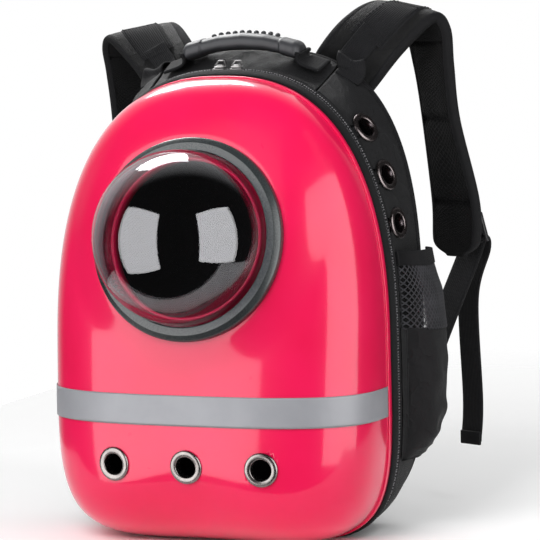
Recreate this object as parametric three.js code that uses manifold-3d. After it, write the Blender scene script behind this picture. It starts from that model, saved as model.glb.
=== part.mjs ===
// A bubble pet carrier backpack: a moulded front shell with a clear dome, a cloth band with vents,
// pockets and a grip behind it, and a padded back with two shoulder straps.
// Millimetres, +Z up, the shell faces -Y. The pack stands on z = 0 and its left and right sides mirror.
import * as THREE from "three";
import { mergeVertices } from "three/addons/utils/BufferGeometryUtils.js";
import Module from "manifold-3d";

const wasm = await Module();
wasm.setup();

// Body: the outline at the shell's rim and at the back, and the depth of each zone behind the rim.
const RIM_WIDTH = 320;
const RIM_HEIGHT = 425;
const BACK_WIDTH = 326;
const BACK_HEIGHT = 446;
const WAIST_HEIGHT = 180; // height of the widest level
const BASE_FLAT = 4.5; // how much of the rounded underside is pressed flat
const BINDING_DEPTH = 12;
const ZIP_DEPTH = 8;
const SIDE_DEPTH = 50;
const BACK_PAD = 12;
const GAP = 0.3; // between pieces that touch
const CLOTH = 2;
const SIDE_CROWN = 1.2; // how far the side panels swell between their seams
const BINDING_CROWN = 2; // how far the rim binding stands proud of the outline
const ZIP_CROWN = 0.8;
const TOP_SAG = 9; // how far the soft top sinks between its seams
const SEAM_TOP = 60; // seam between top and side panel, degrees above the waist
const SEAM_BASE = -50; // seam between side and base panel

// Front shell
const SHELL_DEPTH = 104;
const SHELL_WALL = 3;
const SHELL_FOCUS = 112; // height of the shell's foremost point
const SHELL_LEAN = 0.36; // how much deeper the shell is at the bottom than at the top
const LIP_DEPTH = 7;
const LIP_STEP = 1.6;

// Dome window and its ring, measured along the dome's own tilted axis
const DOME_HEIGHT = 281.5;
const DOME_SEAT = 84; // how far the seat's centre lies in front of the rim
const DOME_TILT = 12;
const DOME_RADIUS = 79.2;
const DOME_WALL = 2.4;
const DOME_SKIRT = 8; // straight stretch in front of the ring
const DOME_FLANGE = 6;
const DOME_SIDES = 28;
const RING_RADIUS = 92.5;
const RING_HEIGHT = 11;
const NECK_RADIUS = 71; // inside radius of the shell's neck under the dome
const NECK_HEIGHT = 9;
const SEAT_BLEND = 55; // width over which the shell rises to the seat

// Reflective strip
const STRIP_LOW = 115;
const STRIP_HEIGHT = 27.5;
const STRIP_THICK = 0.8;

// Eyelets
const FRONT_EYELET = { radius: 15.6, hole: 9.6, height: 78, spacing: 72.5 };
const SIDE_EYELET = { radius: 14.6, hole: 9.2, setback: 15.2 };
const SIDE_EYELET_HEIGHTS = { top: 374, middle: 331, bottom: 287 };
const EYELET_RISE = 2.4;
const EYELET_SEAT = 0.6; // between flange and wall
const EYELET_BARREL = 1.2; // wall of the barrel
const EYELET_SIDES = 12;
const EYELET_BITE = 2.8; // room between wall and washer, because the wall is curved

// Side pockets: heights of their edges, and how far they bulge
const POCKET_LOW = 68;
const POCKET_SPLIT = 192;
const POCKET_TOP = 263;
const POCKET_BINDING = 14;
const POCKET_BULGE = 31;
const POCKET_FOOT = 0.8; // between a pocket's edge and the side panel

// Shoulder straps
const STRAP_WIDTH = 60;
const STRAP_THICK = 12;
const STRAP_REACH = 74; // how far the hanging strap's middle lies behind the back pad
const STRAP_RISE = 32; // how far its fold rises above the back
const STRAP_END = 244; // height of its lower end
const STRAP_SPREAD = 168; // how far its lower end lies from the middle
const WEBBING_WIDTH = 25;
const WEBBING_THICK = 1.6;
const PATCH_SHARE = 0.56; // share of the strap's width that its sewn webbing covers
const BUCKLE = { width: 37, height: 30, thick: 4, bar: 5 };
const BUCKLE_SHARE = 0.81; // share of the strap's way down at which the buckle hangs
const TAIL_END = 62; // height of the webbing's free end

// Grip on top
const GRIP_SPAN = 118;
const GRIP_RISE = 21.8; // top of the grip above the outline under it
const GRIP_WIDTH = 26;
const GRIP_THICK = 16;
const GRIP_SETBACK = 54; // behind the rim
const GRIP_DROP = 10; // how far the ends of its arc lie below the middle
const GRIP_TAB = { seat: 1, tip: 19 }; // places along each tab, outside the grip's end

// Zip sliders
const SLIDER = { length: 13, width: 9, height: 4, seat: 0.5, spacing: 17, pull: 24 };

const BAND_END = BINDING_DEPTH + ZIP_DEPTH + SIDE_DEPTH;
const BACK_FACE = BAND_END + BACK_PAD;
const RIM_POWERS = { above: 2.48, below: 4.8 };
const BACK_POWERS = { above: 3.0, below: 3.4 };
const radians = THREE.MathUtils.degToRad;
const mix = THREE.MathUtils.lerp;
const vector = (x, y, z) => new THREE.Vector3(x, y, z);

const material = (color, roughness, metalness = 0) =>
  new THREE.MeshStandardMaterial({ color, roughness, metalness });
const MATERIALS = {
  shell: material(0xf21c52, 0.18),
  dome: material(0x1a1a1c, 0.05),
  ring: material(0x4c5353, 0.35),
  reflector: material(0xabacb0, 0.45),
  nickel: material(0xb9b9bd, 0.25, 1),
  gunmetal: material(0x4a4546, 0.3, 1),
  oxford: material(0x333236, 0.85),
  binding: material(0x232226, 0.8),
  zip: material(0x202024, 0.7),
  mesh: material(0x1c1b1e, 0.9),
  webbing: material(0x2a2a2e, 0.8),
  pad: material(0x26262b, 0.9),
  rubber: material(0x2b2c2f, 0.5),
  plastic: material(0x1b1b1d, 0.4),
};

const pack = new THREE.Group();

function addMesh(name, geometry, finish, parent = pack) {
  const mesh = new THREE.Mesh(geometry, MATERIALS[finish]);
  mesh.name = name;
  parent.add(mesh);
  return mesh;
}

// Solids: a loft joins loops that each have as many points. Its open ends are closed by strips
// across the loop, which suits both round loops and the loops of a thin sheet.
function loft(loops, closed = false) {
  const size = loops[0].length;
  const points = loops.flat();
  const index = [];
  const quad = (a, b, c, d) => index.push(a, b, c, a, c, d);
  const last = closed ? loops.length : loops.length - 1;
  for (let i = 0; i < last; i++) {
    const here = i * size;
    const next = ((i + 1) % loops.length) * size;
    for (let j = 0; j < size; j++) {
      const k = (j + 1) % size;
      quad(here + j, here + k, next + k, next + j);
    }
  }
  if (!closed) {
    const end = (loops.length - 1) * size;
    for (let j = 0; j < size / 2 - 1; j++) {
      const k = size - 1 - j;
      quad(j, k, k - 1, j + 1);
      quad(end + j, end + j + 1, end + k - 1, end + k);
    }
  }
  if (signedVolume(points, index) < 0) index.reverse();
  const geometry = new THREE.BufferGeometry().setFromPoints(points);
  geometry.setIndex(index);
  return geometry;
}

function signedVolume(points, index) {
  let volume = 0;
  for (let i = 0; i < index.length; i += 3) {
    const [a, b, c] = [points[index[i]], points[index[i + 1]], points[index[i + 2]]];
    volume += a.dot(vector(0, 0, 0).crossVectors(b, c));
  }
  return volume;
}

function toSolid(geometry) {
  const bare = geometry.clone();
  bare.deleteAttribute("normal");
  bare.deleteAttribute("uv");
  const merged = mergeVertices(bare, 1e-4);
  return new wasm.Manifold(
    new wasm.Mesh({
      numProp: 3,
      vertProperties: new Float32Array(merged.attributes.position.array),
      triVerts: new Uint32Array(merged.index.array),
    }),
  );
}

function toGeometry(solid) {
  const mesh = solid.getMesh();
  const geometry = new THREE.BufferGeometry();
  const places = new Float32Array(mesh.vertProperties);
  geometry.setAttribute("position", new THREE.BufferAttribute(places, 3));
  geometry.setIndex(new THREE.BufferAttribute(new Uint32Array(mesh.triVerts), 1));
  return geometry;
}

// Places a shape made round the Y axis so that the axis points along a direction from a point.
function alongAxis(geometry, origin, direction) {
  const turn = new THREE.Quaternion().setFromUnitVectors(vector(0, 1, 0), direction);
  return geometry.applyQuaternion(turn).translate(origin.x, origin.y, origin.z);
}

const flip = (geometry) => {
  const mirrored = geometry.clone().scale(-1, 1, 1);
  mirrored.index.array.reverse();
  return mirrored;
};

// Builds a piece of the right side and its mirror image on the left.
function addPair(name, geometry, finish) {
  addMesh(name + "_right", geometry, finish);
  addMesh(name + "_left", flip(geometry), finish);
}

// Body outline before its base is pressed flat: two half superellipses that meet at the waist.
function roundOutline(angle, y, inset = 0) {
  const share = THREE.MathUtils.clamp(y / BAND_END, 0, 1);
  const above = Math.sin(angle) >= 0;
  const half = mix(RIM_WIDTH, BACK_WIDTH, share) / 2 - inset;
  const height = above
    ? mix(RIM_HEIGHT, BACK_HEIGHT, share) - WAIST_HEIGHT - inset
    : WAIST_HEIGHT + BASE_FLAT - inset;
  const side = above ? "above" : "below";
  const power = mix(RIM_POWERS[side], BACK_POWERS[side], share ** 2);
  const [c, s] = [Math.cos(angle), Math.sin(angle)];
  const radius = (Math.abs(c) ** power + Math.abs(s) ** power) ** (-1 / power);
  return new THREE.Vector2(half * radius * c, WAIST_HEIGHT + height * radius * s);
}

function rawOutline(angle, y) {
  const place = roundOutline(angle, y);
  return place.setY(Math.max(place.y, 0));
}

// A point of the band at an angle, a depth behind the rim and a distance outside the outline.
function bandPoint(angle, y, out = 0) {
  const step = 0.01;
  const here = rawOutline(angle, y);
  const along = rawOutline(angle + step, y).sub(rawOutline(angle - step, y)).normalize();
  const place = here.add(new THREE.Vector2(along.y, -along.x).multiplyScalar(out));
  return vector(place.x, y, Math.max(place.y, 0));
}

// The direction straight out of the band at an angle and a depth.
function bandNormal(angle, y) {
  const step = 0.02;
  const around = bandPoint(angle + step, y).sub(bandPoint(angle - step, y));
  const back = bandPoint(angle, y + 1).sub(bandPoint(angle, y - 1));
  return vector(0, 0, 0).crossVectors(back, around).normalize();
}

const sideCrown = (share) => SIDE_CROWN * Math.sin(Math.PI * share);

const angles = (from, to, count) =>
  Array.from({ length: count + 1 }, (_, i) => radians(mix(from, to, i / count)));

// Shell: each point lies on a quarter superellipse that runs from the rim to the foremost point.
const shellPower = (angle) => {
  const rise = Math.sin(angle);
  return mix(3.1, rise > 0 ? 2.9 : 2.4, rise * rise);
};

const seatAxis = vector(0, -Math.cos(radians(DOME_TILT)), Math.sin(radians(DOME_TILT)));
const seatCentre = vector(0, -DOME_SEAT, DOME_HEIGHT);

function seatDepth(x, z) {
  return seatCentre.y + (z - seatCentre.z) * Math.tan(radians(DOME_TILT));
}

function shellPoint(angle, swing) {
  const rim = roundOutline(angle, 0, LIP_STEP);
  const power = shellPower(Math.atan2(rim.y - SHELL_FOCUS, rim.x));
  const [c, s] = [Math.cos(swing), Math.sin(swing)];
  const radius = (c ** power + s ** power) ** (-1 / power);
  const x = rim.x * radius * c;
  const z = SHELL_FOCUS + (rim.y - SHELL_FOCUS) * radius * c;
  const lean = 1 + (SHELL_LEAN * (SHELL_FOCUS - z)) / RIM_HEIGHT;
  const y = -LIP_DEPTH - (SHELL_DEPTH - LIP_DEPTH) * radius * s * lean;
  const away = Math.hypot(x, z - DOME_HEIGHT) - RING_RADIUS;
  const rise = 1 - THREE.MathUtils.smoothstep(away, 0, SEAT_BLEND);
  return vector(x, mix(y, seatDepth(x, z) + GAP, rise), z);
}

function shellSkin(angle, swing, out) {
  const step = 0.01;
  const place = shellPoint(angle, swing);
  const around = shellPoint(angle + step, swing).sub(shellPoint(angle - step, swing));
  const inward = shellPoint(angle, swing + step).sub(shellPoint(angle, Math.max(swing - step, 0)));
  const normal = vector(0, 0, 0).crossVectors(around, inward).normalize();
  place.addScaledVector(normal, out);
  place.z = Math.max(place.z, out < 0 ? -out : 0);
  return place;
}

const SHELL_SIDES = 32;
const SWINGS = [1, 17, 32, 46, 59, 71, 84];
const roundAngles = () => angles(0, 360, SHELL_SIDES).slice(0, -1);

// The space inside the shell's surface moved out by a distance, open at the rim plane or past it.
function shellBody(out, start = 0) {
  const sides = roundAngles();
  const lip = (y) => sides.map((a) => bandPoint(a, 0, out).setY(y));
  const skins = SWINGS.map((swing) => sides.map((a) => shellSkin(a, radians(swing), out)));
  return toSolid(loft([lip(start), lip(-LIP_DEPTH), ...skins]));
}

function lathe(profile, sides) {
  return new THREE.LatheGeometry(
    profile.map(([r, h]) => new THREE.Vector2(r, h)),
    sides,
  );
}

function cylinderCut(radius, length, origin, direction, sides = EYELET_SIDES) {
  return toSolid(alongAxis(new THREE.CylinderGeometry(radius, radius, length, sides), origin, direction));
}

// The point of the shell's surface in front of a place on the rim plane, and the normal there.
function shellAt(x, z) {
  const offset = new THREE.Vector2(x, z - SHELL_FOCUS);
  const wanted = Math.atan2(offset.y, offset.x);
  let [low, high] = [wanted - 1.2, wanted + 1.2];
  for (let i = 0; i < 40; i++) {
    const middle = (low + high) / 2;
    const rim = roundOutline(middle, 0, LIP_STEP);
    const found = Math.atan2(rim.y - SHELL_FOCUS, rim.x);
    const ahead = Math.atan2(Math.sin(found - wanted), Math.cos(found - wanted)) > 0;
    [low, high] = ahead ? [low, middle] : [middle, high];
  }
  const angle = (low + high) / 2;
  const rim = roundOutline(angle, 0, LIP_STEP);
  const share = offset.length() / Math.hypot(rim.x, rim.y - SHELL_FOCUS);
  const power = shellPower(Math.atan2(rim.y - SHELL_FOCUS, rim.x));
  const swing = Math.atan2((1 - share ** power) ** (1 / power), share);
  const place = shellPoint(angle, swing);
  return { place, normal: shellSkin(angle, swing, 1).sub(place).normalize() };
}

const frontEyelets = { left: -1, middle: 0, right: 1 };
for (const name in frontEyelets) {
  const x = frontEyelets[name] * FRONT_EYELET.spacing;
  frontEyelets[name] = shellAt(x, FRONT_EYELET.height);
}

function buildShell() {
  const seat = toSolid(
    alongAxis(
      lathe(
        [
          [NECK_RADIUS - 2, -SHELL_WALL],
          [RING_RADIUS + 1, -SHELL_WALL - 3],
          [RING_RADIUS + 1, -GAP],
          [NECK_RADIUS + SHELL_WALL, -GAP],
          [NECK_RADIUS + SHELL_WALL, NECK_HEIGHT],
          [NECK_RADIUS - 2, NECK_HEIGHT],
          [NECK_RADIUS - 2, -SHELL_WALL],
        ],
        DOME_SIDES,
      ),
      seatCentre,
      seatAxis,
    ),
  );
  const inside = shellBody(-SHELL_WALL, 1);
  let shell = shellBody(0).subtract(inside).add(seat);
  shell = shell.subtract(cylinderCut(NECK_RADIUS, 60, seatCentre, seatAxis, DOME_SIDES));
  for (const { place, normal } of Object.values(frontEyelets))
    shell = shell.subtract(cylinderCut(FRONT_EYELET.hole + EYELET_BARREL + GAP, 30, place, normal));
  addMesh("front_shell", toGeometry(shell), "shell");
}

function buildStrip() {
  const sheet = shellBody(GAP + STRIP_THICK).subtract(shellBody(GAP, 1));
  const reach = 2 * SHELL_DEPTH;
  const box = new THREE.BoxGeometry(2 * RIM_WIDTH, reach, STRIP_HEIGHT);
  box.translate(0, -LIP_DEPTH - 2 - reach / 2, STRIP_LOW + STRIP_HEIGHT / 2);
  addMesh("reflective_strip", toGeometry(sheet.intersect(toSolid(box))), "reflector");
}

function buildDome() {
  const group = new THREE.Group();
  group.position.copy(seatCentre);
  group.quaternion.setFromUnitVectors(vector(0, 1, 0), seatAxis);
  pack.add(group);
  const centre = RING_HEIGHT + DOME_SKIRT;
  const cap = (radius) =>
    angles(0, 90, 5).map((a) => [radius * Math.cos(a), centre + radius * Math.sin(a)]);
  const inner = DOME_RADIUS - DOME_WALL;
  const flange = DOME_RADIUS + DOME_FLANGE;
  const rim = [
    [flange, DOME_WALL],
    [flange, 0],
    [inner, 0],
  ];
  const outside = cap(DOME_RADIUS).reverse();
  const profile = [...outside, [DOME_RADIUS, DOME_WALL], ...rim, ...cap(inner)];
  profile[0][0] = 0;
  profile[profile.length - 1][0] = 0;
  addMesh("dome_window", lathe(profile.reverse(), DOME_SIDES), "dome", group);

  const bore = DOME_RADIUS + GAP;
  const rebate = DOME_WALL + GAP;
  const ring = [
    [flange + GAP, 0],
    [RING_RADIUS, 0],
    [RING_RADIUS, 0.55 * RING_HEIGHT],
    [RING_RADIUS - 2.5, 0.9 * RING_HEIGHT],
    [RING_RADIUS - 5, RING_HEIGHT],
    [bore + 1, RING_HEIGHT],
    [bore, RING_HEIGHT - 1],
    [bore, rebate],
    [flange + GAP, rebate],
    [flange + GAP, 0],
  ];
  addMesh("dome_ring", lathe(ring, DOME_SIDES), "ring", group);
}

// An eyelet clinched through a wall: a rolled flange outside, a barrel and a washer inside.
function eyelet({ radius, hole }, wall) {
  const washer = -wall - EYELET_BITE;
  return lathe(
    [
      [hole, washer - 1.2],
      [radius - 2, washer - 1.2],
      [radius - 2, washer],
      [hole + EYELET_BARREL, washer],
      [hole + EYELET_BARREL, EYELET_SEAT],
      [radius, EYELET_SEAT],
      [radius - 1.6, EYELET_RISE],
      [hole + 1.4, EYELET_RISE],
      [hole, washer - 1.2],
    ],
    EYELET_SIDES,
  );
}

function buildFrontEyelets() {
  for (const [name, { place, normal }] of Object.entries(frontEyelets)) {
    const ring = alongAxis(eyelet(FRONT_EYELET, SHELL_WALL), place, normal);
    addMesh("front_eyelet_" + name, ring, "nickel");
  }
}

// A sheet of the band between two angles. Rows of [depth, distance outside the outline] give its
// outer face, and its inner face lies a thickness further in.
function bandSection(angle, rows, thickness) {
  const outer = rows.map(([y, out]) => bandPoint(angle, y, out));
  const inner = rows.map(([y, out]) => bandPoint(angle, y, out - thickness));
  return [...outer, ...inner.reverse()];
}

function buildBindings() {
  const turns = roundAngles();
  const crown = [
    [GAP, 0],
    [0.35 * BINDING_DEPTH, BINDING_CROWN],
    [0.75 * BINDING_DEPTH, BINDING_CROWN],
    [BINDING_DEPTH, 0.2],
  ];
  const binding = turns.map((a) => bandSection(a, crown, CLOTH + 0.5));
  addMesh("rim_binding", loft(binding, true), "binding");
  const start = BINDING_DEPTH + GAP;
  const end = BINDING_DEPTH + ZIP_DEPTH;
  const tape = [
    [start, 0],
    [mix(start, end, 0.5), ZIP_CROWN],
    [end, 0],
  ];
  const zip = turns.map((a) => bandSection(a, tape, CLOTH));
  addMesh("zip_band", loft(zip, true), "zip");
}

const panelStart = BINDING_DEPTH + ZIP_DEPTH + GAP;
const panelDepth = (share) => mix(panelStart, BAND_END, share);

const sideEyelets = Object.entries(SIDE_EYELET_HEIGHTS).map(([name, height]) => {
  const depth = panelStart + SIDE_EYELET.setback;
  const angle = angleAtHeight(height, depth);
  const out = sideCrown((depth - panelStart) / (BAND_END - panelStart));
  return { name, place: bandPoint(angle, depth, out), normal: bandNormal(angle, depth) };
});

function buildPanels() {
  const sideRows = [0, 0.33, 0.67, 1].map((s) => [panelDepth(s), sideCrown(s)]);
  const sides = angles(SEAM_BASE, SEAM_TOP - 0.2, 16);
  let side = toSolid(loft(sides.map((a) => bandSection(a, sideRows, CLOTH))));
  for (const { place, normal } of sideEyelets)
    side = side.subtract(cylinderCut(SIDE_EYELET.hole + EYELET_BARREL + GAP, 30, place, normal));
  addPair("side_panel", toGeometry(side), "oxford");
  for (const { name, place, normal } of sideEyelets) {
    const ring = alongAxis(eyelet(SIDE_EYELET, CLOTH), place, normal);
    addPair("side_eyelet_" + name, ring, "gunmetal");
  }
  const sag = (a, s) => {
    const across = Math.cos(((a - Math.PI / 2) / (Math.PI / 2 - radians(SEAM_TOP))) * (Math.PI / 2));
    return -TOP_SAG * Math.sin(Math.PI * s) * Math.sqrt(Math.max(across, 0));
  };
  const topRow = (a) => [0, 0.25, 0.5, 0.75, 1].map((s) => [panelDepth(s), sag(a, s)]);
  const top = angles(SEAM_TOP + 0.2, 180 - SEAM_TOP - 0.2, 10);
  addMesh("top_panel", loft(top.map((a) => bandSection(a, topRow(a), CLOTH))), "oxford");
  const baseRows = [0, 1].map((s) => [panelDepth(s), 0]);
  const base = angles(-180 - SEAM_BASE + 0.2, SEAM_BASE - 0.2, 10);
  addMesh("base_panel", loft(base.map((a) => bandSection(a, baseRows, CLOTH))), "oxford");
}

function buildBack() {
  const turns = roundAngles();
  const rounds = [
    { share: 0, out: -1 },
    { share: 0.15, out: 0.5 },
    { share: 0.7, out: 0.5 },
    { share: 1, out: -5 },
  ];
  const start = BAND_END + GAP;
  const loops = rounds.map(({ share, out }) =>
    turns.map((a) => bandPoint(a, BAND_END, out).setY(mix(start, BACK_FACE, share))),
  );
  addMesh("back_panel", loft(loops), "pad");
}

// Pockets: the wall leaves the side panel near the zip, bulges, and comes back near the rear seam.
function angleAtHeight(height, y) {
  let [low, high] = [radians(SEAM_BASE), radians(SEAM_TOP)];
  for (let i = 0; i < 40; i++) {
    const middle = (low + high) / 2;
    if (rawOutline(middle, y).y < height) low = middle;
    else high = middle;
  }
  return (low + high) / 2;
}

// up is a share of the pocket's height, bulge a share of its full bulge.
const POCKET_ROWS = [
  { up: 0, bulge: 0.08 },
  { up: 0.07, bulge: 0.55 },
  { up: 0.14, bulge: 0.82 },
  { up: 0.4, bulge: 0.97 },
  { up: 0.64, bulge: 1 },
  { up: 0.82, bulge: 0.84 },
  { up: 0.93, bulge: 0.64 },
  { up: 1, bulge: 0.6 },
];

function pocketSwell(height) {
  const up = (height - POCKET_LOW) / (POCKET_TOP - POCKET_LOW);
  const next = Math.max(1, POCKET_ROWS.findIndex((row) => row.up >= up - 1e-9));
  const [low, high] = [POCKET_ROWS[next - 1], POCKET_ROWS[next]];
  return mix(low.bulge, high.bulge, (up - low.up) / (high.up - low.up));
}

function pocketSection(height, thickness, solid = false) {
  const steps = [0, 0.06, 0.2, 0.4, 0.6, 0.8, 0.94, 1];
  const at = (share, more, swell) => {
    const place = mix(0.03, 0.97, share);
    const depth = panelDepth(place);
    const across = Math.max(0, 1 - Math.abs(2 * share - 1.08) ** 3.2) ** 0.6;
    const out = sideCrown(place) + POCKET_FOOT + POCKET_BULGE * swell * across + more;
    return bandPoint(angleAtHeight(height, depth), depth, out).setZ(height);
  };
  const swell = pocketSwell(height);
  const outer = steps.map((share) => at(share, thickness, swell));
  const inner = steps.map((share) => at(share, 0, solid ? 0 : swell));
  return [...outer, ...inner.reverse()];
}

function buildPockets() {
  const heights = POCKET_ROWS.map((row) => mix(POCKET_LOW, POCKET_TOP, row.up));
  const sections = (low, high, thickness) =>
    [low, ...heights.filter((h) => h > low + 1 && h < high - 1), high].map((height) =>
      pocketSection(height, thickness),
    );
  const floor = [POCKET_LOW, POCKET_LOW + CLOTH].map((h) => pocketSection(h, CLOTH, true));
  const cloth = sections(POCKET_LOW + CLOTH + 0.2, POCKET_SPLIT, CLOTH);
  const rim = POCKET_TOP - POCKET_BINDING;
  addPair("side_pocket", loft([...floor, ...cloth]), "oxford");
  addPair("pocket_mesh", loft(sections(POCKET_SPLIT + GAP, rim - GAP, CLOTH)), "mesh");
  addPair("pocket_binding", loft(sections(rim, POCKET_TOP, CLOTH + 1)), "binding");
}

// Shoulder strap: rows along its middle line. out is a share of the spread, back a share of the
// reach behind the pad, up a share of the height between its lower end and its fold. turn and droop
// are the angles of its width, in degrees, and width is a share of the full width.
const STRAP_ROWS = [
  { out: 0.4, back: 0, up: 0.66, turn: 0, droop: 39, width: 0.9 },
  { out: 0.51, back: 0, up: 0.765, turn: 0, droop: 39, width: 1.06 },
  { out: 0.66, back: 0.2, up: 0.91, turn: 6, droop: 28, width: 1.1 },
  { out: 0.815, back: 0.44, up: 1, turn: 15, droop: 12, width: 1.12 },
  { out: 0.905, back: 0.62, up: 0.93, turn: 28, droop: 2, width: 1 },
  { out: 0.925, back: 0.74, up: 0.78, turn: 36, droop: 0, width: 0.95 },
  { out: 0.945, back: 0.85, up: 0.56, turn: 38, droop: 0, width: 0.92 },
  { out: 1, back: 0.99, up: 0.23, turn: 25, droop: 0, width: 0.94 },
  { out: 1, back: 1, up: 0.06, turn: 20, droop: 0, width: 0.86 },
  { out: 1, back: 1, up: 0, turn: 20, droop: 0, width: 0.6 },
];

const strapTop = BACK_HEIGHT + STRAP_RISE;
const strapCurve = (column) =>
  new THREE.CatmullRomCurve3(
    STRAP_ROWS.map(column),
    false,
    "catmullrom",
    0.5,
  );
const strapMiddle = strapCurve((row) =>
  vector(
    row.out * STRAP_SPREAD,
    BACK_FACE + GAP + STRAP_THICK / 2 + row.back * STRAP_REACH,
    mix(STRAP_END, strapTop, row.up),
  ),
);
const strapSet = strapCurve((row) => vector(row.turn, row.droop, row.width));

// The strap's frame at a share of its rows: middle, tangent, width direction and outer normal.
function strapFrame(share) {
  const middle = strapMiddle.getPoint(share);
  middle.y = Math.max(middle.y, BACK_FACE + STRAP_THICK / 2 + 2 * GAP);
  const ahead = strapMiddle.getPoint(Math.min(share + 0.01, 1));
  const behind = strapMiddle.getPoint(Math.max(share - 0.01, 0));
  const tangent = ahead.sub(behind).normalize();
  const { x: turn, y: droop, z: width } = strapSet.getPoint(share);
  const across = vector(
    Math.cos(radians(droop)) * Math.cos(radians(turn)),
    -Math.cos(radians(droop)) * Math.sin(radians(turn)),
    -Math.sin(radians(droop)),
  );
  const outward = vector(0, 0, 0).crossVectors(across, tangent).normalize();
  return { middle, tangent, across, outward, width: width * STRAP_WIDTH };
}

// A section of flat stock on the strap's frame, each corner given as [share of width, height].
function strapSection(share, corners) {
  const { middle, across, outward, width } = strapFrame(share);
  return corners.map(([w, h]) =>
    middle
      .clone()
      .addScaledVector(across, w * width)
      .addScaledVector(outward, h),
  );
}

const shares = (from, to, count) =>
  Array.from({ length: count + 1 }, (_, i) => mix(from, to, i / count));

const PATCH_START = 0.2; // where the sewn webbing starts, as a share of the strap's rows

function buildStraps() {
  const [half, edge] = [STRAP_THICK / 2, STRAP_THICK / 5];
  const sewn = PATCH_SHARE / 2;
  const corners = [
    [-0.5, edge],
    [-0.38, half],
    [-sewn, half],
    [sewn, half],
    [0.38, half],
    [0.5, edge],
    [0.5, -edge],
    [0.38, -half],
    [sewn, -half],
    [-sewn, -half],
    [-0.38, -half],
    [-0.5, -edge],
  ];
  const stations = shares(0, 1, 20);
  addPair("shoulder_strap", loft(stations.map((s) => strapSection(s, corners))), "pad");
  const low = half + GAP;
  const high = low + WEBBING_THICK;
  const flat = [
    [sewn, low],
    [sewn, high],
    [-sewn, high],
    [-sewn, low],
  ];
  const backed = stations.filter((s) => s >= PATCH_START && s < 0.9);
  const patch = backed.map((s) => strapSection(s, flat));
  addPair("strap_webbing", loft(patch), "webbing");
}

// Sweeps flat webbing along a curve through points, with two steps from each to the next. Its
// width turns from one direction to another over the first half.
function sweepWebbing(points, from, to = from, width = WEBBING_WIDTH, thick = WEBBING_THICK) {
  const curve = new THREE.CatmullRomCurve3(points, false, "centripetal");
  const steps = 2 * (points.length - 1);
  return loft(
    shares(0, 1, steps).map((s) => {
      const middle = curve.getPoint(s);
      const tangent = curve.getTangent(s);
      const wide = from.clone().lerp(to, Math.min(1, 2 * s));
      wide.addScaledVector(tangent, -wide.dot(tangent)).normalize();
      const up = vector(0, 0, 0).crossVectors(wide, tangent);
      const corner = (w, h) =>
        middle.clone().addScaledVector(wide, w * width).addScaledVector(up, h * thick);
      return [corner(-0.5, 0.5), corner(0.5, 0.5), corner(0.5, -0.5), corner(-0.5, -0.5)];
    }),
  );
}

// A webbing loop from the end of the sewn webbing to the bag's top seam.
function buildStrapLoops() {
  const level = STRAP_THICK / 2 + WEBBING_THICK;
  const [sewn, bend] = [
    { share: PATCH_START - 0.012, rise: level },
    { share: PATCH_START - 0.05, rise: level + 2 },
  ].map(({ share, rise }) => {
    const frame = strapFrame(share);
    return frame.middle.clone().addScaledVector(frame.outward, rise);
  });
  const seam = bandPoint(radians(SEAM_TOP - 4), BAND_END - 4, SIDE_CROWN + 5);
  const crest = bend.clone().lerp(seam, 0.45).add(vector(0, -5, 4));
  const across = strapFrame(PATCH_START).across;
  const edge = alongBand(SEAM_TOP - 4);
  addPair("strap_loop", sweepWebbing([sewn, bend, crest, seam], across, edge), "webbing");
}

// The direction along the rear seam at an angle in degrees, towards the waist.
function alongBand(degrees) {
  const [ahead, behind] = [degrees - 2, degrees + 2].map((a) => bandPoint(radians(a), BAND_END));
  return ahead.sub(behind).normalize();
}

// The ladder buckle hangs on a webbing loop behind the strap's lower end.
function buckleFrame() {
  const frame = strapFrame(BUCKLE_SHARE);
  const outward = frame.outward.clone().setZ(0).normalize();
  const down = vector(0, 0, -1).addScaledVector(outward, 0.35).normalize();
  const normal = vector(0, 0, 0).crossVectors(frame.across, down).normalize();
  if (normal.dot(outward) < 0) normal.negate();
  const hang = frame.middle.clone().addScaledVector(frame.outward, STRAP_THICK / 2 + 9);
  return { hang, down, normal, across: vector(0, 0, 0).crossVectors(down, normal).normalize() };
}

function buildBuckles() {
  const { hang, down, normal, across } = buckleFrame();
  const { width, height, thick, bar } = BUCKLE;
  const outline = new THREE.Shape();
  const rectangle = (path, w, low, high) =>
    path.moveTo(-w / 2, low).lineTo(w / 2, low).lineTo(w / 2, high).lineTo(-w / 2, high).closePath();
  rectangle(outline, width, 0, height);
  const slot = (height - 3 * bar) / 2;
  for (const low of [bar, 2 * bar + slot])
    outline.holes.push(rectangle(new THREE.Path(), width - 2 * bar, low, low + slot));
  const plate = new THREE.ExtrudeGeometry(outline, { depth: thick, bevelEnabled: false });
  plate.translate(0, -bar / 2, -thick / 2);
  const basis = new THREE.Matrix4().makeBasis(across, down, normal).setPosition(hang);
  if (basis.determinant() < 0) throw new Error("the buckle's frame is left-handed");
  const buckle = mergeVertices(stripped(plate.applyMatrix4(basis)));
  addPair("strap_buckle", buckle, "plastic");
}

function stripped(geometry) {
  geometry.deleteAttribute("normal");
  geometry.deleteAttribute("uv");
  return geometry;
}

// Points of a half turn round a bar, from its near side to its far side, over the top or under it.
function turnRound(bar, normal, up) {
  const radius = Math.hypot(BUCKLE.thick, BUCKLE.bar) / 2 + WEBBING_THICK / 2 + 1.2;
  return [-90, -45, 0, 45, 90].map((degrees) =>
    bar
      .clone()
      .addScaledVector(normal, radius * Math.sin(radians(degrees)))
      .addScaledVector(up, radius * Math.cos(radians(degrees))),
  );
}

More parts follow.
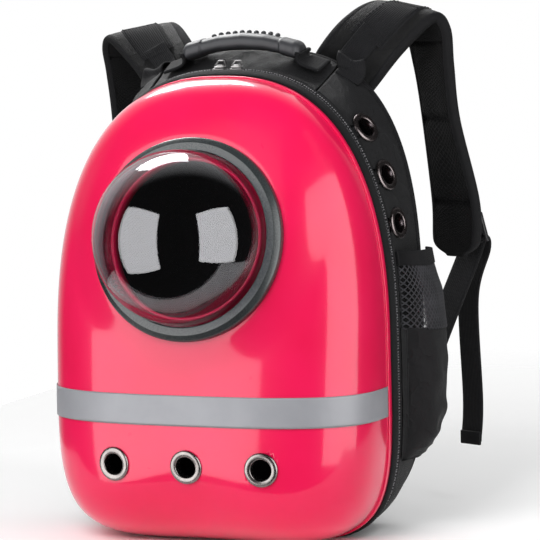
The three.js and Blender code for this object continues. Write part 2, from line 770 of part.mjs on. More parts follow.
function buildAdjusters() {
  const { hang, down, normal, across } = buckleFrame();
  const loopEnds = [BUCKLE_SHARE - 0.06, BUCKLE_SHARE - 0.03].map((share) => {
    const frame = strapFrame(share);
    const rise = STRAP_THICK / 2 + 2 * WEBBING_THICK + 1.4;
    return frame.middle.clone().addScaledVector(frame.outward, rise);
  });
  const held = turnRound(hang, normal, down);
  const loop = [loopEnds[1], ...held, loopEnds[0].addScaledVector(normal, WEBBING_THICK + 1.2)];
  addPair("buckle_loop", sweepWebbing(loop, across), "webbing");

  const bar = hang.clone().addScaledVector(down, BUCKLE.height - BUCKLE.bar);
  const turn = turnRound(bar, normal, down.clone().negate());
  const [near, far] = [turn[0], turn[turn.length - 1]];
  const anchor = vector(0.39 * BACK_WIDTH, BACK_FACE + WEBBING_THICK + 1, 0.13 * BACK_HEIGHT);
  const tail = vector(far.x - 8, far.y + 4, TAIL_END);
  const route = [
    anchor,
    near.clone().lerp(anchor, 0.5).add(vector(0, 3, 0)),
    near.clone().addScaledVector(down, 8),
    ...turn,
    far.clone().addScaledVector(down, 12),
    far.clone().lerp(tail, 0.45).add(vector(-6, 2, 0)),
    tail,
  ];
  addPair("adjuster_webbing", sweepWebbing(route, vector(1, 0, 0), across), "webbing");
}

// Grip: sections along its span. rise is the height of its middle as a share of the rise at the
// centre, size the share of the full section.
const GRIP_ROWS = [
  { along: -0.5, rise: 0.0, size: 0.72 },
  { along: -0.49, rise: 0.02, size: 1.0 },
  { along: -0.43, rise: 0.2, size: 1.05 },
  { along: -0.41, rise: 0.26, size: 0.9 },
  { along: -0.25, rise: 0.72, size: 0.95 },
  { along: 0, rise: 1, size: 1 },
];

// The angle at which the band's upper part reaches a distance from the middle.
function angleOver(x, y) {
  let [low, high] = [0, Math.PI / 2];
  for (let i = 0; i < 40; i++) {
    const middle = (low + high) / 2;
    [low, high] = rawOutline(middle, y).x > x ? [middle, high] : [low, middle];
  }
  return low;
}

function buildGrip() {
  const mirrored = GRIP_ROWS.slice(0, -1).reverse();
  const rows = [...GRIP_ROWS, ...mirrored.map((row) => ({ ...row, along: -row.along }))];
  const top = rawOutline(Math.PI / 2, GRIP_SETBACK).y + GRIP_RISE - GRIP_THICK / 2;
  const sides = angles(0, 360, 12).slice(0, -1);
  const loops = rows.map(({ along, rise, size }) =>
    sides.map((a) =>
      vector(
        along * GRIP_SPAN,
        GRIP_SETBACK + (size * GRIP_WIDTH * Math.cos(a)) / 2,
        top - GRIP_DROP * (1 - rise) + (size * GRIP_THICK * Math.sin(a)) / 2,
      ),
    ),
  );
  addMesh("grip", loft(loops), "rubber");
  const end = vector(GRIP_SPAN / 2 + 1, GRIP_SETBACK, top - GRIP_DROP);
  const lift = 2 * WEBBING_THICK + SIDE_CROWN + GAP;
  const slope = bandPoint(radians(SEAM_TOP + 6), BAND_END);
  slope.sub(bandPoint(radians(SEAM_TOP + 6), 0)).normalize();
  const over = (reach) => angleOver(end.x + reach, GRIP_SETBACK);
  const seat = bandPoint(over(GRIP_TAB.seat), GRIP_SETBACK, lift - 1.4);
  const tip = bandPoint(over(GRIP_TAB.tip), GRIP_SETBACK, lift - 1);
  const middle = end.clone().lerp(seat, 0.5).add(vector(3, 0, 3));
  const route = [end, middle, seat, tip];
  const tab = sweepWebbing(route, vector(0, 1, 0), slope, GRIP_WIDTH, 2 * WEBBING_THICK);
  addPair("grip_tab", tab, "webbing");
}

function buildSliders() {
  const depth = BINDING_DEPTH + ZIP_DEPTH / 2;
  const { length, width, height, seat, spacing, pull } = SLIDER;
  for (const [name, side] of [["left", -1], ["right", 1]]) {
    const angle = Math.acos((side * spacing) / RIM_WIDTH);
    const normal = bandNormal(angle, depth);
    const place = bandPoint(angle, depth).addScaledVector(normal, ZIP_CROWN + seat + height / 2);
    const body = toSolid(new THREE.BoxGeometry(length, width, height));
    const tongue = new THREE.BoxGeometry(pull, width * 0.6, 1.4);
    tongue.translate(side * (length / 2 + pull / 2 - 3), 0, height / 2 + 0.2);
    const joined = toGeometry(body.add(toSolid(tongue)));
    const slider = addMesh("zip_slider_" + name, joined, "nickel");
    slider.position.copy(place);
    slider.quaternion.setFromUnitVectors(vector(0, 0, 1), normal);
  }
}

buildShell();
buildStrip();
buildDome();
buildFrontEyelets();
buildBindings();
buildPanels();
buildBack();
buildPockets();
buildStraps();
buildStrapLoops();
buildBuckles();
buildAdjusters();
buildGrip();
buildSliders();

// Depths above are measured from the rim. The part's origin lies under the middle of the base panel.
pack.position.y = -(panelStart + BAND_END) / 2;

export default pack;
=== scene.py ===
# %% [markdown]
# # A bubble pet carrier backpack
#
# The pack has a hard, glossy front shell with a clear dome, a cloth band with vents and pockets
# behind it, and a padded back with two shoulder straps. Its measured solids are loaded first.
# Each soft or rounded piece is then modelled over its solid and given a finish, and the last
# cells add the light.

# %% Load the measured pack
import math

import bmesh
import bpy
from mathutils import Matrix, Vector, noise
from mathutils.bvhtree import BVHTree


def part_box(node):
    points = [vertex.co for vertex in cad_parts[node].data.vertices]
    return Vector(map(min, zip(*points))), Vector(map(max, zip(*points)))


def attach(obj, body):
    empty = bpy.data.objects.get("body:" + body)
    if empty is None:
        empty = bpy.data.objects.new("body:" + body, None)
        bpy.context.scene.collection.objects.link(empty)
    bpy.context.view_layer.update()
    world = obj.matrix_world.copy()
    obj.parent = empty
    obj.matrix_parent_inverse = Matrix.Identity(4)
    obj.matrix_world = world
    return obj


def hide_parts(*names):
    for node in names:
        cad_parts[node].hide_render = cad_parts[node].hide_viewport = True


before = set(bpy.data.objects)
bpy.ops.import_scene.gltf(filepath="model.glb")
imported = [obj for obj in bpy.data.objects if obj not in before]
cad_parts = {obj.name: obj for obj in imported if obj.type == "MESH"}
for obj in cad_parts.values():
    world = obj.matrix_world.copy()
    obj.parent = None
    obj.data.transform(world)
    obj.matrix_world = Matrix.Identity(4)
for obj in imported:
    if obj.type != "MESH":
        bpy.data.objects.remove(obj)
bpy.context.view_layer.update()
mm = 0.001
print("solids:", len(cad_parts))

# %% [markdown]
# The camera comes first, because every later choice is judged through it. It stands 2.76 metres
# from the pack, a little to the pack's own left and just above it, and it is rolled by a degree
# and a half, which its three axes say more plainly than angles would.

# %% Camera
AZIMUTH = math.radians(23.0)
ELEVATION = math.radians(5.95)
ROLL = math.radians(-1.57)
DISTANCE = 2755.7 * mm
FOCAL_PIXELS = 2994.8  # focal length in pixels of the picture
PICTURE = 540
SENSOR = 36.0
RIM_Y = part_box("front_shell")[1][1]  # plane where shell and cloth meet
TARGET = Vector((42.8 * mm, RIM_Y, 246.0 * mm))



def way(azimuth, elevation):
    """A direction in radians, with azimuth 0 in front of the shell and 90 degrees on its right."""
    flat = math.cos(elevation)
    return Vector((math.sin(azimuth) * flat, -math.cos(azimuth) * flat, math.sin(elevation)))


back = way(AZIMUTH, ELEVATION)
level = Vector((0, 0, 1)).cross(back).normalized()
upright = back.cross(level)
right = level * math.cos(ROLL) + upright * math.sin(ROLL)
up = upright * math.cos(ROLL) - level * math.sin(ROLL)

lens = bpy.data.cameras.new("camera")
lens.lens = FOCAL_PIXELS / PICTURE * SENSOR
lens.sensor_width = SENSOR
camera = bpy.data.objects.new("camera", lens)
camera.matrix_world = Matrix.Translation(TARGET + back * DISTANCE) @ Matrix(
    (right, up, back)
).transposed().to_4x4()
bpy.context.scene.collection.objects.link(camera)
bpy.context.scene.camera = camera
print("camera at", [round(v, 3) for v in camera.matrix_world.translation])
print("view transform", bpy.context.scene.view_settings.view_transform)

# %% [markdown]
# The outline of the pack is egg-shaped: two half superellipses that meet at the widest level,
# pressed flat where the pack stands. It grows a little and squares up from the shell's rim to the
# back. One function holds it, so that shell, binding, zip, cloth and back all meet without any
# fitting.

# %% Outline of the body
FLOOR = 0.0  # the height that everything stands on
RIM_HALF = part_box("front_shell")[1][0]
RIM_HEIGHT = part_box("front_shell")[1][2]
BACK_SWELL = 0.5 * mm
BACK_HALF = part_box("back_panel")[1][0] - BACK_SWELL
BACK_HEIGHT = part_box("back_panel")[1][2] - BACK_SWELL
GAP = 0.3 * mm
BINDING_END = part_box("rim_binding")[1][1] - RIM_Y
ZIP_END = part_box("zip_band")[1][1] - RIM_Y
BAND_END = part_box("side_panel_right")[1][1] - RIM_Y
BACK_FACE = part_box("back_panel")[1][1] - RIM_Y
WAIST = 180 * mm
FLAT = 4.5 * mm
POWERS = {"above": (2.48, 3.0), "below": (4.8, 3.4)}


def mix(a, b, share):
    return a + (b - a) * share


def smooth(value, low, high):
    share = min(max((value - low) / (high - low), 0.0), 1.0)
    return share * share * (3 - 2 * share)


def round_outline(angle, depth, inset=0.0):
    """The outline as x and z at a depth behind the rim, before its base is pressed flat."""
    share = min(max(depth / BAND_END, 0.0), 1.0)
    above = math.sin(angle) >= 0
    half = mix(RIM_HALF, BACK_HALF, share) - inset
    tall = (mix(RIM_HEIGHT, BACK_HEIGHT, share) - WAIST if above else WAIST + FLAT) - inset
    power = mix(*POWERS["above" if above else "below"], share**2)
    c, s = math.cos(angle), math.sin(angle)
    reach = (abs(c) ** power + abs(s) ** power) ** (-1 / power)
    return Vector((half * reach * c, WAIST + tall * reach * s))


def outline(angle, depth):
    place = round_outline(angle, depth)
    return Vector((place.x, max(place.y, FLOOR)))


def band(angle, depth, out=0.0):
    """A point of the band at a depth behind the rim and a distance outside the outline."""
    step = 0.01
    along = (outline(angle + step, depth) - outline(angle - step, depth)).normalized()
    place = outline(angle, depth) + Vector((along.y, -along.x)) * out
    return Vector((place.x, RIM_Y + depth, max(place.y, FLOOR)))


def band_normal(angle, depth):
    step = 0.02
    around = band(angle + step, depth) - band(angle - step, depth)
    behind = band(angle, depth + mm) - band(angle, depth - mm)
    return behind.cross(around).normalized()


def angle_at(height, depth):
    """The angle on the right side where the outline reaches a height."""
    low, high = math.radians(-60), math.radians(88)
    for _ in range(40):
        middle = (low + high) / 2
        if outline(middle, depth).y < height:
            low = middle
        else:
            high = middle
    return (low + high) / 2


print("outline", round(2 * RIM_HALF / mm), "x", round(RIM_HEIGHT / mm), "mm")

# %% [markdown]
# Most pieces here are sheets that bend in space. A flat grid from a bmesh operator gives the
# faces, a function says where each of its points goes, and the grid's own coordinates are kept as
# a UV map in metres, so that a weave keeps its true size however the cloth bends.

# %% Making and placing pieces
UV = "cloth"


def bend(columns, rows, place, size=(1.0, 1.0), wrap=False):
    """A grid whose points go to place(u, v), with u and v from 0 to 1."""
    bm = bmesh.new()
    bmesh.ops.create_grid(bm, x_segments=columns, y_segments=rows, size=0.5)
    layer = bm.loops.layers.uv.new(UV)
    for face in bm.faces:
        for loop in face.loops:
            u, v = loop.vert.co.x + 0.5, loop.vert.co.y + 0.5
            loop[layer].uv = (u * size[0], v * size[1])
    for vert in bm.verts:
        vert.co = place(vert.co.x + 0.5, vert.co.y + 0.5)
    if wrap:
        bmesh.ops.remove_doubles(bm, verts=bm.verts, dist=1e-6)
    return bm


def close_ends(bm):
    bmesh.ops.holes_fill(bm, edges=[e for e in bm.edges if e.is_boundary], sides=0)
    bmesh.ops.recalc_face_normals(bm, faces=bm.faces)
    return bm


def outward(bm, centre):
    """Turns an open sheet so that its faces look away from a point."""
    bm.normal_update()
    facing = 0
    for face in bm.faces:
        away = face.calc_center_median() - centre
        facing += away.dot(face.normal) * face.calc_area()
    if facing < 0:
        bmesh.ops.reverse_faces(bm, faces=bm.faces)
    return bm


def piece(name, bm, nodes, slot, thickness=0.0, levels=0, inward=True):
    """Makes an object of a bmesh, rides it on the body and hides the solids that it stands for."""
    bm.normal_update()
    mesh = bpy.data.meshes.new(name)
    bm.to_mesh(mesh)
    bm.free()
    for polygon in mesh.polygons:
        polygon.use_smooth = True
    obj = bpy.data.objects.new(name, mesh)
    bpy.context.scene.collection.objects.link(obj)
    if thickness:
        wall = obj.modifiers.new("wall", "SOLIDIFY")
        wall.thickness = thickness
        wall.offset = -1 if inward else 1
    if levels:
        soft = obj.modifiers.new("soft", "SUBSURF")
        soft.levels = levels
        soft.render_levels = levels
    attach(obj, "root")
    if nodes:
        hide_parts(*nodes)
    pieces.append(obj)
    slots[obj.name] = slot
    return obj


pieces = []
slots = {}
BODY_CENTRE = Vector((0, RIM_Y + BAND_END / 2, 210 * mm))


def both_sides(name, make, node, slot, settle=None, **options):
    """A piece on the right, and on the left its mirror image, which may settle otherwise."""
    made = []
    for side in ("right", "left"):
        bm = make()
        if side == "left":
            bmesh.ops.scale(bm, vec=(-1, 1, 1), verts=bm.verts)
            bmesh.ops.reverse_faces(bm, faces=bm.faces)
            for vert in bm.verts if settle else ():
                settle(vert.co)
        nodes = [f"{n}_{side}" for n in node]
        made.append(piece(f"{name}_{side}", bm, nodes, slot, **options))
    return made


def spun(profile, centre, axis, steps=64):
    """Spins a closed or open profile of (radius, height) round an axis."""
    bm = bmesh.new()
    turn = Vector((0, 0, 1)).rotation_difference(axis).to_matrix().to_4x4()
    to_place = Matrix.Translation(centre) @ turn
    verts = [bm.verts.new((r, 0, h)) for r, h in profile]
    edges = [bm.edges.new(pair) for pair in zip(verts, verts[1:])]
    bmesh.ops.spin(
        bm,
        geom=verts + edges,
        cent=(0, 0, 0),
        axis=(0, 0, 1),
        angle=2 * math.pi,
        steps=steps,
        use_merge=True,
    )
    bmesh.ops.remove_doubles(bm, verts=bm.verts, dist=1e-6)
    bmesh.ops.recalc_face_normals(bm, faces=bm.faces)
    bmesh.ops.transform(bm, matrix=to_place, verts=bm.verts)
    return bm


def joined(*parts):
    """One bmesh that holds several."""
    whole = bmesh.new()
    whole.loops.layers.uv.new(UV)
    for part in parts:
        mesh = bpy.data.meshes.new("part")
        part.to_mesh(mesh)
        part.free()
        whole.from_mesh(mesh)
        bpy.data.meshes.remove(mesh)
    return whole


HOLE_REACH = 20 * mm  # how far from its centre along its axis a hole looks for faces
HOLE_SNAP = 1.6  # how many radii away an edge point may lie and still be drawn in


def open_hole(bm, centre, axis, radius):
    """Deletes the faces inside a circle and draws the edge of the gap onto the circle."""

    def off(point):
        away = point - centre
        return away - axis * away.dot(axis), away.dot(axis)

    inside = []
    for face in bm.faces:
        flat, height = off(face.calc_center_median())
        if flat.length < radius and abs(height) < HOLE_REACH:
            inside.append(face)
    bmesh.ops.delete(bm, geom=inside, context="FACES")
    for vert in bm.verts:
        flat, height = off(vert.co)
        if vert.is_boundary and abs(height) < HOLE_REACH and flat.length < HOLE_SNAP * radius:
            vert.co += flat.normalized() * (radius - flat.length)


def pull_rim(bm, keep=None):
    """Extrudes the open edges that keep allows, and gives the new points."""
    rim = [e for e in bm.edges if e.is_boundary and (keep is None or keep(e))]
    moved = bmesh.ops.extrude_edge_only(bm, edges=rim)["geom"]
    return [g for g in moved if isinstance(g, bmesh.types.BMVert)]


print("helpers ready")

# %% [markdown]
# The shell is one bowl of moulded plastic. A square grid is bent into its round form, because a
# grid has no pole where rings of faces would pinch the reflections. Round the dome the bowl rises
# to a flat seat, and at its rim it ends in a straight lip.

# %% Shell skin
LIP_DEPTH = 7 * mm
LIP_STEP = 1.6 * mm
SHELL_DEPTH = 104 * mm
SHELL_FOCUS = 112 * mm
SHELL_LEAN = 0.36
SHELL_WALL = 3 * mm
SHELL_CELLS = 150
DOME_TILT = math.radians(12)
SEAT = Vector((0, RIM_Y - 84 * mm, 281.5 * mm))
SEAT_AXIS = Vector((0, -math.cos(DOME_TILT), math.sin(DOME_TILT)))
SEAT_BLEND = 34 * mm
RING_RADIUS = 92.5 * mm


def shell_point(angle, swing):
    rim = round_outline(angle, 0, LIP_STEP)
    rise = math.sin(math.atan2(rim.y - SHELL_FOCUS, rim.x))
    power = mix(3.1, 2.9 if rise > 0 else 2.4, rise * rise)
    c, s = max(math.cos(swing), 0.0), max(math.sin(swing), 0.0)
    reach = (c**power + s**power) ** (-1 / power)
    x = rim.x * reach * c
    z = SHELL_FOCUS + (rim.y - SHELL_FOCUS) * reach * c
    lean = 1 + SHELL_LEAN * (SHELL_FOCUS - z) / RIM_HEIGHT
    y = RIM_Y - LIP_DEPTH - (SHELL_DEPTH - LIP_DEPTH) * reach * s * lean
    away = math.hypot(x, z - SEAT.z) - RING_RADIUS
    seat = SEAT.y + (z - SEAT.z) * math.tan(DOME_TILT) + GAP
    held = 1 - min(max(away / SEAT_BLEND, 0.0), 1.0)
    return Vector((x, mix(y, seat, held**2), max(z, FLOOR)))


def square_to_disc(a, b):
    """The direction and the share of the way out for a place in a square."""
    if abs(a) >= abs(b):
        share = abs(a)
        angle = 0.0 if share == 0 else math.pi / 4 * b / a
        return (angle if a >= 0 else angle + math.pi), share
    angle = math.pi / 2 - math.pi / 4 * a / b
    return (angle if b > 0 else angle + math.pi), abs(b)


def shell_place(u, v):
    angle, share = square_to_disc(2 * u - 1, 2 * v - 1)
    return shell_point(angle, (1 - share) * math.pi / 2)


def shell_skin():
    return outward(bend(SHELL_CELLS, SHELL_CELLS, shell_place), BODY_CENTRE)


skin = shell_skin()
skin_tree = BVHTree.FromBMesh(skin)


def on_shell(x, z):
    """The point of the shell in front of a place, and the direction straight out of it."""
    place, normal, _, _ = skin_tree.ray_cast(Vector((x, -1, z)), Vector((0, 1, 0)))
    return place, normal


print("shell skin", len(skin.faces), "faces")

# %% Shell with lip, neck and vents
VENT_HOLE = 11.2 * mm
NECK_RADIUS = 71 * mm
LIP_STEPS = ((-1.2, -7.6), (-0.3, -7.4), (0, -6.6), (0, -1.0), (-0.3, -0.3), (-1, 0))
FRONT_VENTS = {"left": -72.5 * mm, "middle": 0.0, "right": 72.5 * mm}
FRONT_VENT_HEIGHT = 78 * mm

front_vents = {name: on_shell(x, FRONT_VENT_HEIGHT) for name, x in FRONT_VENTS.items()}


def add_lip(bm):
    """Extrudes the open rim back through a rounded step to the rim plane."""
    for out, depth in LIP_STEPS:
        for vert in pull_rim(bm, near_rim):
            angle = base_angle(vert.co, RIM_HALF, RIM_HEIGHT)
            vert.co = band(angle, 0, out * mm) + Vector((0, depth * mm, 0))


def near_rim(edge):
    return all(v.co.y > RIM_Y - 9 * mm for v in edge.verts)


def base_angle(point, half, height):
    """The outline's angle for a point near an edge of a half width and a height."""
    tall = height - WAIST if point.z >= WAIST else WAIST + FLAT
    return math.atan2((point.z - WAIST) / tall, point.x / half)


add_lip(skin)
open_hole(skin, SEAT, SEAT_AXIS, NECK_RADIUS + 3 * mm)
for place, normal in front_vents.values():
    open_hole(skin, place, normal, VENT_HOLE)
bmesh.ops.solidify(skin, geom=skin.faces, thickness=SHELL_WALL)
for vert in skin.verts:
    vert.co.z = max(vert.co.z, FLOOR)
NECK = [(76, -3), (76, 0), (74.4, 1), (74, 3), (74, 8), (73, 9), (72, 9), (71, 8), (71, -3)]
neck = spun([(r * mm, h * mm) for r, h in NECK + NECK[:1]], SEAT, SEAT_AXIS, 96)
shell = piece("shell", joined(skin, neck), ["front_shell"], "shell")
print("shell", len(shell.data.polygons), "faces")

# %% [markdown]
# The grey tape follows the shell exactly. A grid as wide as the tape is wrapped round: from
# inside the shell a ray finds the skin for each of its points, and the point stands off by the
# tape's thickness. The grid's own edges become the tape's, so they are straight.

# %% Reflective tape
TAPE_LOW, TAPE_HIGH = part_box("reflective_strip")[0][2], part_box("reflective_strip")[1][2]
TAPE_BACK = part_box("reflective_strip")[1][1]
TAPE_THICK = 0.8 * mm
TAPE_SWING = math.atan2(RIM_HALF, RIM_Y - TAPE_BACK)
TAPE_LENGTH = 0.4  # metres round the shell


def tape_place(u, v):
    swing = mix(-TAPE_SWING, TAPE_SWING, u)
    inside = Vector((0, RIM_Y, mix(TAPE_LOW, TAPE_HIGH, v)))
    ray = Vector((math.sin(swing), -math.cos(swing), 0))
    place, normal, _, _ = skin_tree.ray_cast(inside, ray)
    return place + normal * (GAP + TAPE_THICK)


tape = outward(bend(180, 12, tape_place, (TAPE_LENGTH, TAPE_HIGH - TAPE_LOW)), BODY_CENTRE)
piece("tape", tape, ["reflective_strip"], "reflector", thickness=TAPE_THICK)
print("tape", round((TAPE_HIGH - TAPE_LOW) / mm, 1), "mm wide")

# %% [markdown]
# Window, ring and vents are round, so each is a profile spun about its own axis: the way a lathe
# or a moulding tool would make it. The profiles carry the small roundings that catch the light.

# %% Dome and ring
DOME_RADIUS = 79.2
RING_HEIGHT = 11
SKIRT = 8
DOME_WALL = 2.4


def arc(radius, centre, low, high, steps):
    """Points of (radius, height) on an arc round a point, from one angle to another."""
    x, y = centre
    angles = [math.radians(mix(low, high, i / steps)) for i in range(steps + 1)]
    return [(x + radius * math.cos(a), y + radius * math.sin(a)) for a in angles]


def scaled(profile):
    return [(r * mm, h * mm) for r, h in profile]


dome_centre = (0, RING_HEIGHT + SKIRT)
outer = arc(DOME_RADIUS, dome_centre, 90, 0, 28)
inner = arc(DOME_RADIUS - DOME_WALL, dome_centre, 0, 90, 28)
flange = DOME_RADIUS + 5
foot = [(DOME_RADIUS, 3), (flange, 2.2), (flange, 0.2), (DOME_RADIUS - DOME_WALL, 0.2)]
dome_skin = spun(scaled(outer + foot + inner), SEAT, SEAT_AXIS, 96)
dome = piece("dome", dome_skin, ["dome_window"], "dome")

ring_profile = (
    [(85.6, 2.6), (85.6, 0.1), (91.8, 0.1)]
    + arc(0.7, (91.8, 0.8), -90, 0, 3)
    + arc(3.2, (89.3, 5.4), 0, 60, 5)
    + arc(1.2, (86.9, 9.7), 60, 100, 3)
    + arc(1.3, (81.0, 9.7), 80, 180, 5)
    + [(79.6, 2.6), (85.6, 2.6)]
)
ring = piece("ring", spun(scaled(ring_profile), SEAT, SEAT_AXIS, 128), ["dome_ring"], "ring")
print("dome reaches", round(min(v.co.y for v in dome.data.vertices), 3))

# %% Vents
def vent(place, normal, radius, hole, wall):
    """A rolled flange outside, its barrel, and a washer inside."""
    flange = (radius - hole - 1) / 2
    middle = hole + 1 + flange
    profile = [(hole, 0)] + arc(1.2, (hole + 1.2, 1.2), 180, 110, 4)
    profile += [(middle, 2.7)] + arc(2.0, (radius - 2.0, 0.5), 80, 0, 5)
    profile += [(radius, 0.2), (hole + 1.2, 0.2), (hole + 1.2, -wall), (radius - 2, -wall - 0.6)]
    profile += [(radius - 2, -wall - 1.4), (hole, -wall - 1.4), (hole, 0)]
    return spun(scaled(profile), place, normal, 40)


for name, (place, normal) in front_vents.items():
    made = vent(place, normal, 15.6, 9.6, 6.2)
    piece(f"vent_front_{name}", made, [f"front_eyelet_{name}"], "nickel")

PANEL_START = ZIP_END + GAP
SIDE_CROWN = 1.2 * mm
SIDE_VENTS = {"top": 374 * mm, "middle": 331 * mm, "bottom": 287 * mm}
VENT_SETBACK = 15.2 * mm


def panel_depth(share):
    return mix(PANEL_START, BAND_END, share)


def side_crown(share):
    return SIDE_CROWN * math.sin(math.pi * min(max(share, 0.0), 1.0))


side_vents = {}
for name, height in SIDE_VENTS.items():
    depth = PANEL_START + VENT_SETBACK
    angle = angle_at(height, depth)
    out = side_crown(VENT_SETBACK / (BAND_END - PANEL_START))
    side_vents[name] = band(angle, depth, out), band_normal(angle, depth)
    where, facing = side_vents[name]
    both_sides(
        f"vent_side_{name}",
        lambda: vent(where, facing, 14.6, 9.2, 4.6),
        [f"side_eyelet_{name}"],
        "gunmetal",
    )
print("vents", len(front_vents) + 2 * len(side_vents))

# %% [markdown]
# Binding and zip run right round the rim. Their section is a short list of depths and heights,
# carried round the outline. The zip's teeth and the binding's stitches are real shapes: small
# ones, repeated.

# %% Binding and zip
HOOP_STEPS = 320
OUTLINE_LENGTH = 1.28  # metres round the rim, for the weave's scale


def hoop(section, steps=HOOP_STEPS):
    """Carries a closed section of (depth, out) in millimetres round the outline."""
    rows = section + section[:1]

    def place(u, v):
        row = min(int(round(v * (len(rows) - 1))), len(rows) - 1)
        depth, out = rows[row]
        return band(2 * math.pi * u, depth * mm, out * mm)

    made = bend(steps, len(rows) - 1, place, (OUTLINE_LENGTH, 30 * mm), wrap=True)
    return outward(made, BODY_CENTRE)


BINDING_SECTION = [
    (0.4, -1.6), (0.4, 0.3), (1.2, 1.3), (3.0, 2.0), (5.5, 2.3), (8.0, 2.2), (10.0, 1.7),
    (11.3, 1.0), (11.8, 0.2), (11.8, -1.6), (6.0, -1.9),
]
binding = piece("binding", hoop(BINDING_SECTION), ["rim_binding"], "binding")

ZIP_SECTION = [
    (12.2, -1.6), (12.2, -0.2), (13.2, 0.2), (14.6, 0.2), (14.9, -0.4), (15.4, -0.5), (15.9, -0.4),
    (16.2, 0.2), (18.2, 0.3), (19.6, 0.1), (19.9, -0.4), (19.9, -1.6), (16, -1.9),
]
zip_tape = piece("zip_tape", hoop(ZIP_SECTION), ["zip_band"], "zip")


def around(depth, out, spacing):
    """Evenly spaced places round the outline, with the direction of travel and the way out."""
    fine = [band(2 * math.pi * i / 1440, depth, out) for i in range(1440)]
    gone, places = 0.0, []
    for i, point in enumerate(fine):
        ahead = fine[(i + 1) % len(fine)]
        gone += (ahead - point).length
        if gone >= spacing:
            gone -= spacing
            travel = (ahead - point).normalized()
            places.append((point, travel, Vector((0, 1, 0)).cross(travel) * -1))
    return places


def grains(places, size, fineness=1):
    """A small rounded body at each place, with its size along, across and out."""
    bm = bmesh.new()
    bm.loops.layers.uv.new(UV)
    for point, travel, normal in places:
        side = normal.cross(travel)
        basis = Matrix((travel * size[0], side * size[1], normal * size[2])).transposed().to_4x4()
        matrix = Matrix.Translation(point) @ basis
        bmesh.ops.create_icosphere(bm, subdivisions=fineness, radius=0.5, matrix=matrix)
    return bm


coil = around(15.4 * mm, 0.5 * mm, 2.6 * mm)
teeth = piece("zip_teeth", grains(coil, (1.6 * mm, 2.8 * mm, 1.1 * mm)), [], "zip")
seam_thread = grains(around(10.6 * mm, 1.5 * mm, 3.4 * mm), (2.4 * mm, 0.7 * mm, 0.7 * mm))
piece("rim_stitches", seam_thread, [], "binding")
print("teeth", len(teeth.data.polygons) // 20)

# %% [markdown]
# The cloth band is cut as four panels. Cloth never lies dead flat, so the side and top panels get
# slow, shallow swells from a noise field, which fade out at the seams where stitches hold them.

# %% Cloth panels
SEAM_TOP, SEAM_BASE = 60, -50
CLOTH = 2 * mm


def ripple(point, size, height, seed=0.0):
    """A slow wave of the cloth at a place, of about the height given."""
    return noise.noise(point / size + Vector((seed, seed, seed))) * height


def held(u, v, edge=0.12):
    """One in the middle of a panel, and zero along its four seams."""
    return smooth(min(u, 1 - u), 0, edge / 2) * smooth(min(v, 1 - v), 0, edge)


def side_place(u, v):
    angle = math.radians(mix(SEAM_BASE, SEAM_TOP - 0.3, u))
    depth = panel_depth(v)
    place = band(angle, depth, side_crown(v))
    wave = ripple(place, 34 * mm, 2.2 * mm) + ripple(place, 14 * mm, 0.7 * mm, 5)
    return place + band_normal(angle, depth) * wave * held(u, v)


def side_panel():
    bm = outward(bend(220, 26, side_place, (0.46, 50 * mm)), BODY_CENTRE)
    for where, facing in side_vents.values():
        open_hole(bm, where, facing, 10.8 * mm)
    return bm


both_sides("side_cloth", side_panel, ["side_panel"], "oxford", thickness=CLOTH)

TOP_SAG = 9 * mm


def top_place(u, v):
    angle = math.radians(mix(180 - SEAM_TOP - 0.3, SEAM_TOP + 0.3, u))
    across = max(math.cos((angle - math.pi / 2) / math.radians(90 - SEAM_TOP) * math.pi / 2), 0)
    sag = TOP_SAG * math.sin(math.pi * v) * math.sqrt(across)
    place = band(angle, panel_depth(v), -sag)
    wave = ripple(place, 30 * mm, 3.6 * mm, 2) + ripple(place, 12 * mm, 1.3 * mm, 7)
    return place + Vector((0, 0, 1)) * wave * held(u, v)


top_cloth = outward(bend(110, 28, top_place, (0.18, 50 * mm)), BODY_CENTRE)
piece("top_cloth", top_cloth, ["top_panel"], "oxford", thickness=CLOTH)


def base_place(u, v):
    angle = math.radians(mix(-180 - SEAM_BASE + 0.3, SEAM_BASE - 0.3, u))
    return band(angle, panel_depth(v))


base_cloth = outward(bend(90, 12, base_place, (0.26, 50 * mm)), BODY_CENTRE)
piece("base_cloth", base_cloth, ["base_panel"], "oxford", thickness=CLOTH)
print("panels", len([p for p in pieces if "cloth" in p.name]))

# %% [markdown]
# The back is the side that lies on the wearer, so it is a padded sheet: it swells between sewn
# channels and thins to its bound edge. A grid bent into a round keeps even faces right across it.

# %% Padded back
BACK_START = BAND_END + GAP
CHANNELS = (-58 * mm, 58 * mm)
CHANNEL_ROWS = (120 * mm, 205 * mm, 290 * mm, 370 * mm)
CHANNEL_WIDTH = 5 * mm
CHANNEL_DEPTH = 0.62  # share of the swell that the stitches take away
BACK_EDGE = ((7.5, 0.8), (4.5, 1.2), (1.5, 0.6), (0.2, -0.6), (0.0, -6.0))  # depth, out


def groove(distance, width):
    return math.exp(-((distance / width) ** 2))


def back_place(u, v):
    angle, share = square_to_disc(2 * u - 1, 2 * v - 1)
    rim = outline(angle, BAND_END)
    x, z = rim.x * share, WAIST + (rim.y - WAIST) * share
    edge = 1 - share**14
    sewn = max(groove(x - c, CHANNEL_WIDTH) for c in CHANNELS)
    if CHANNELS[0] < x < CHANNELS[1]:
        sewn = max([sewn] + [groove(z - c, CHANNEL_WIDTH) for c in CHANNEL_ROWS])
    puff = (1 - CHANNEL_DEPTH * sewn) * edge
    depth = mix(BACK_START + 6 * mm, BACK_FACE + 0.6 * mm, puff)
    depth += ripple(Vector((x, 0, z)), 40 * mm, 1.0 * mm, 3) * edge
    return Vector((x, RIM_Y + depth, z))


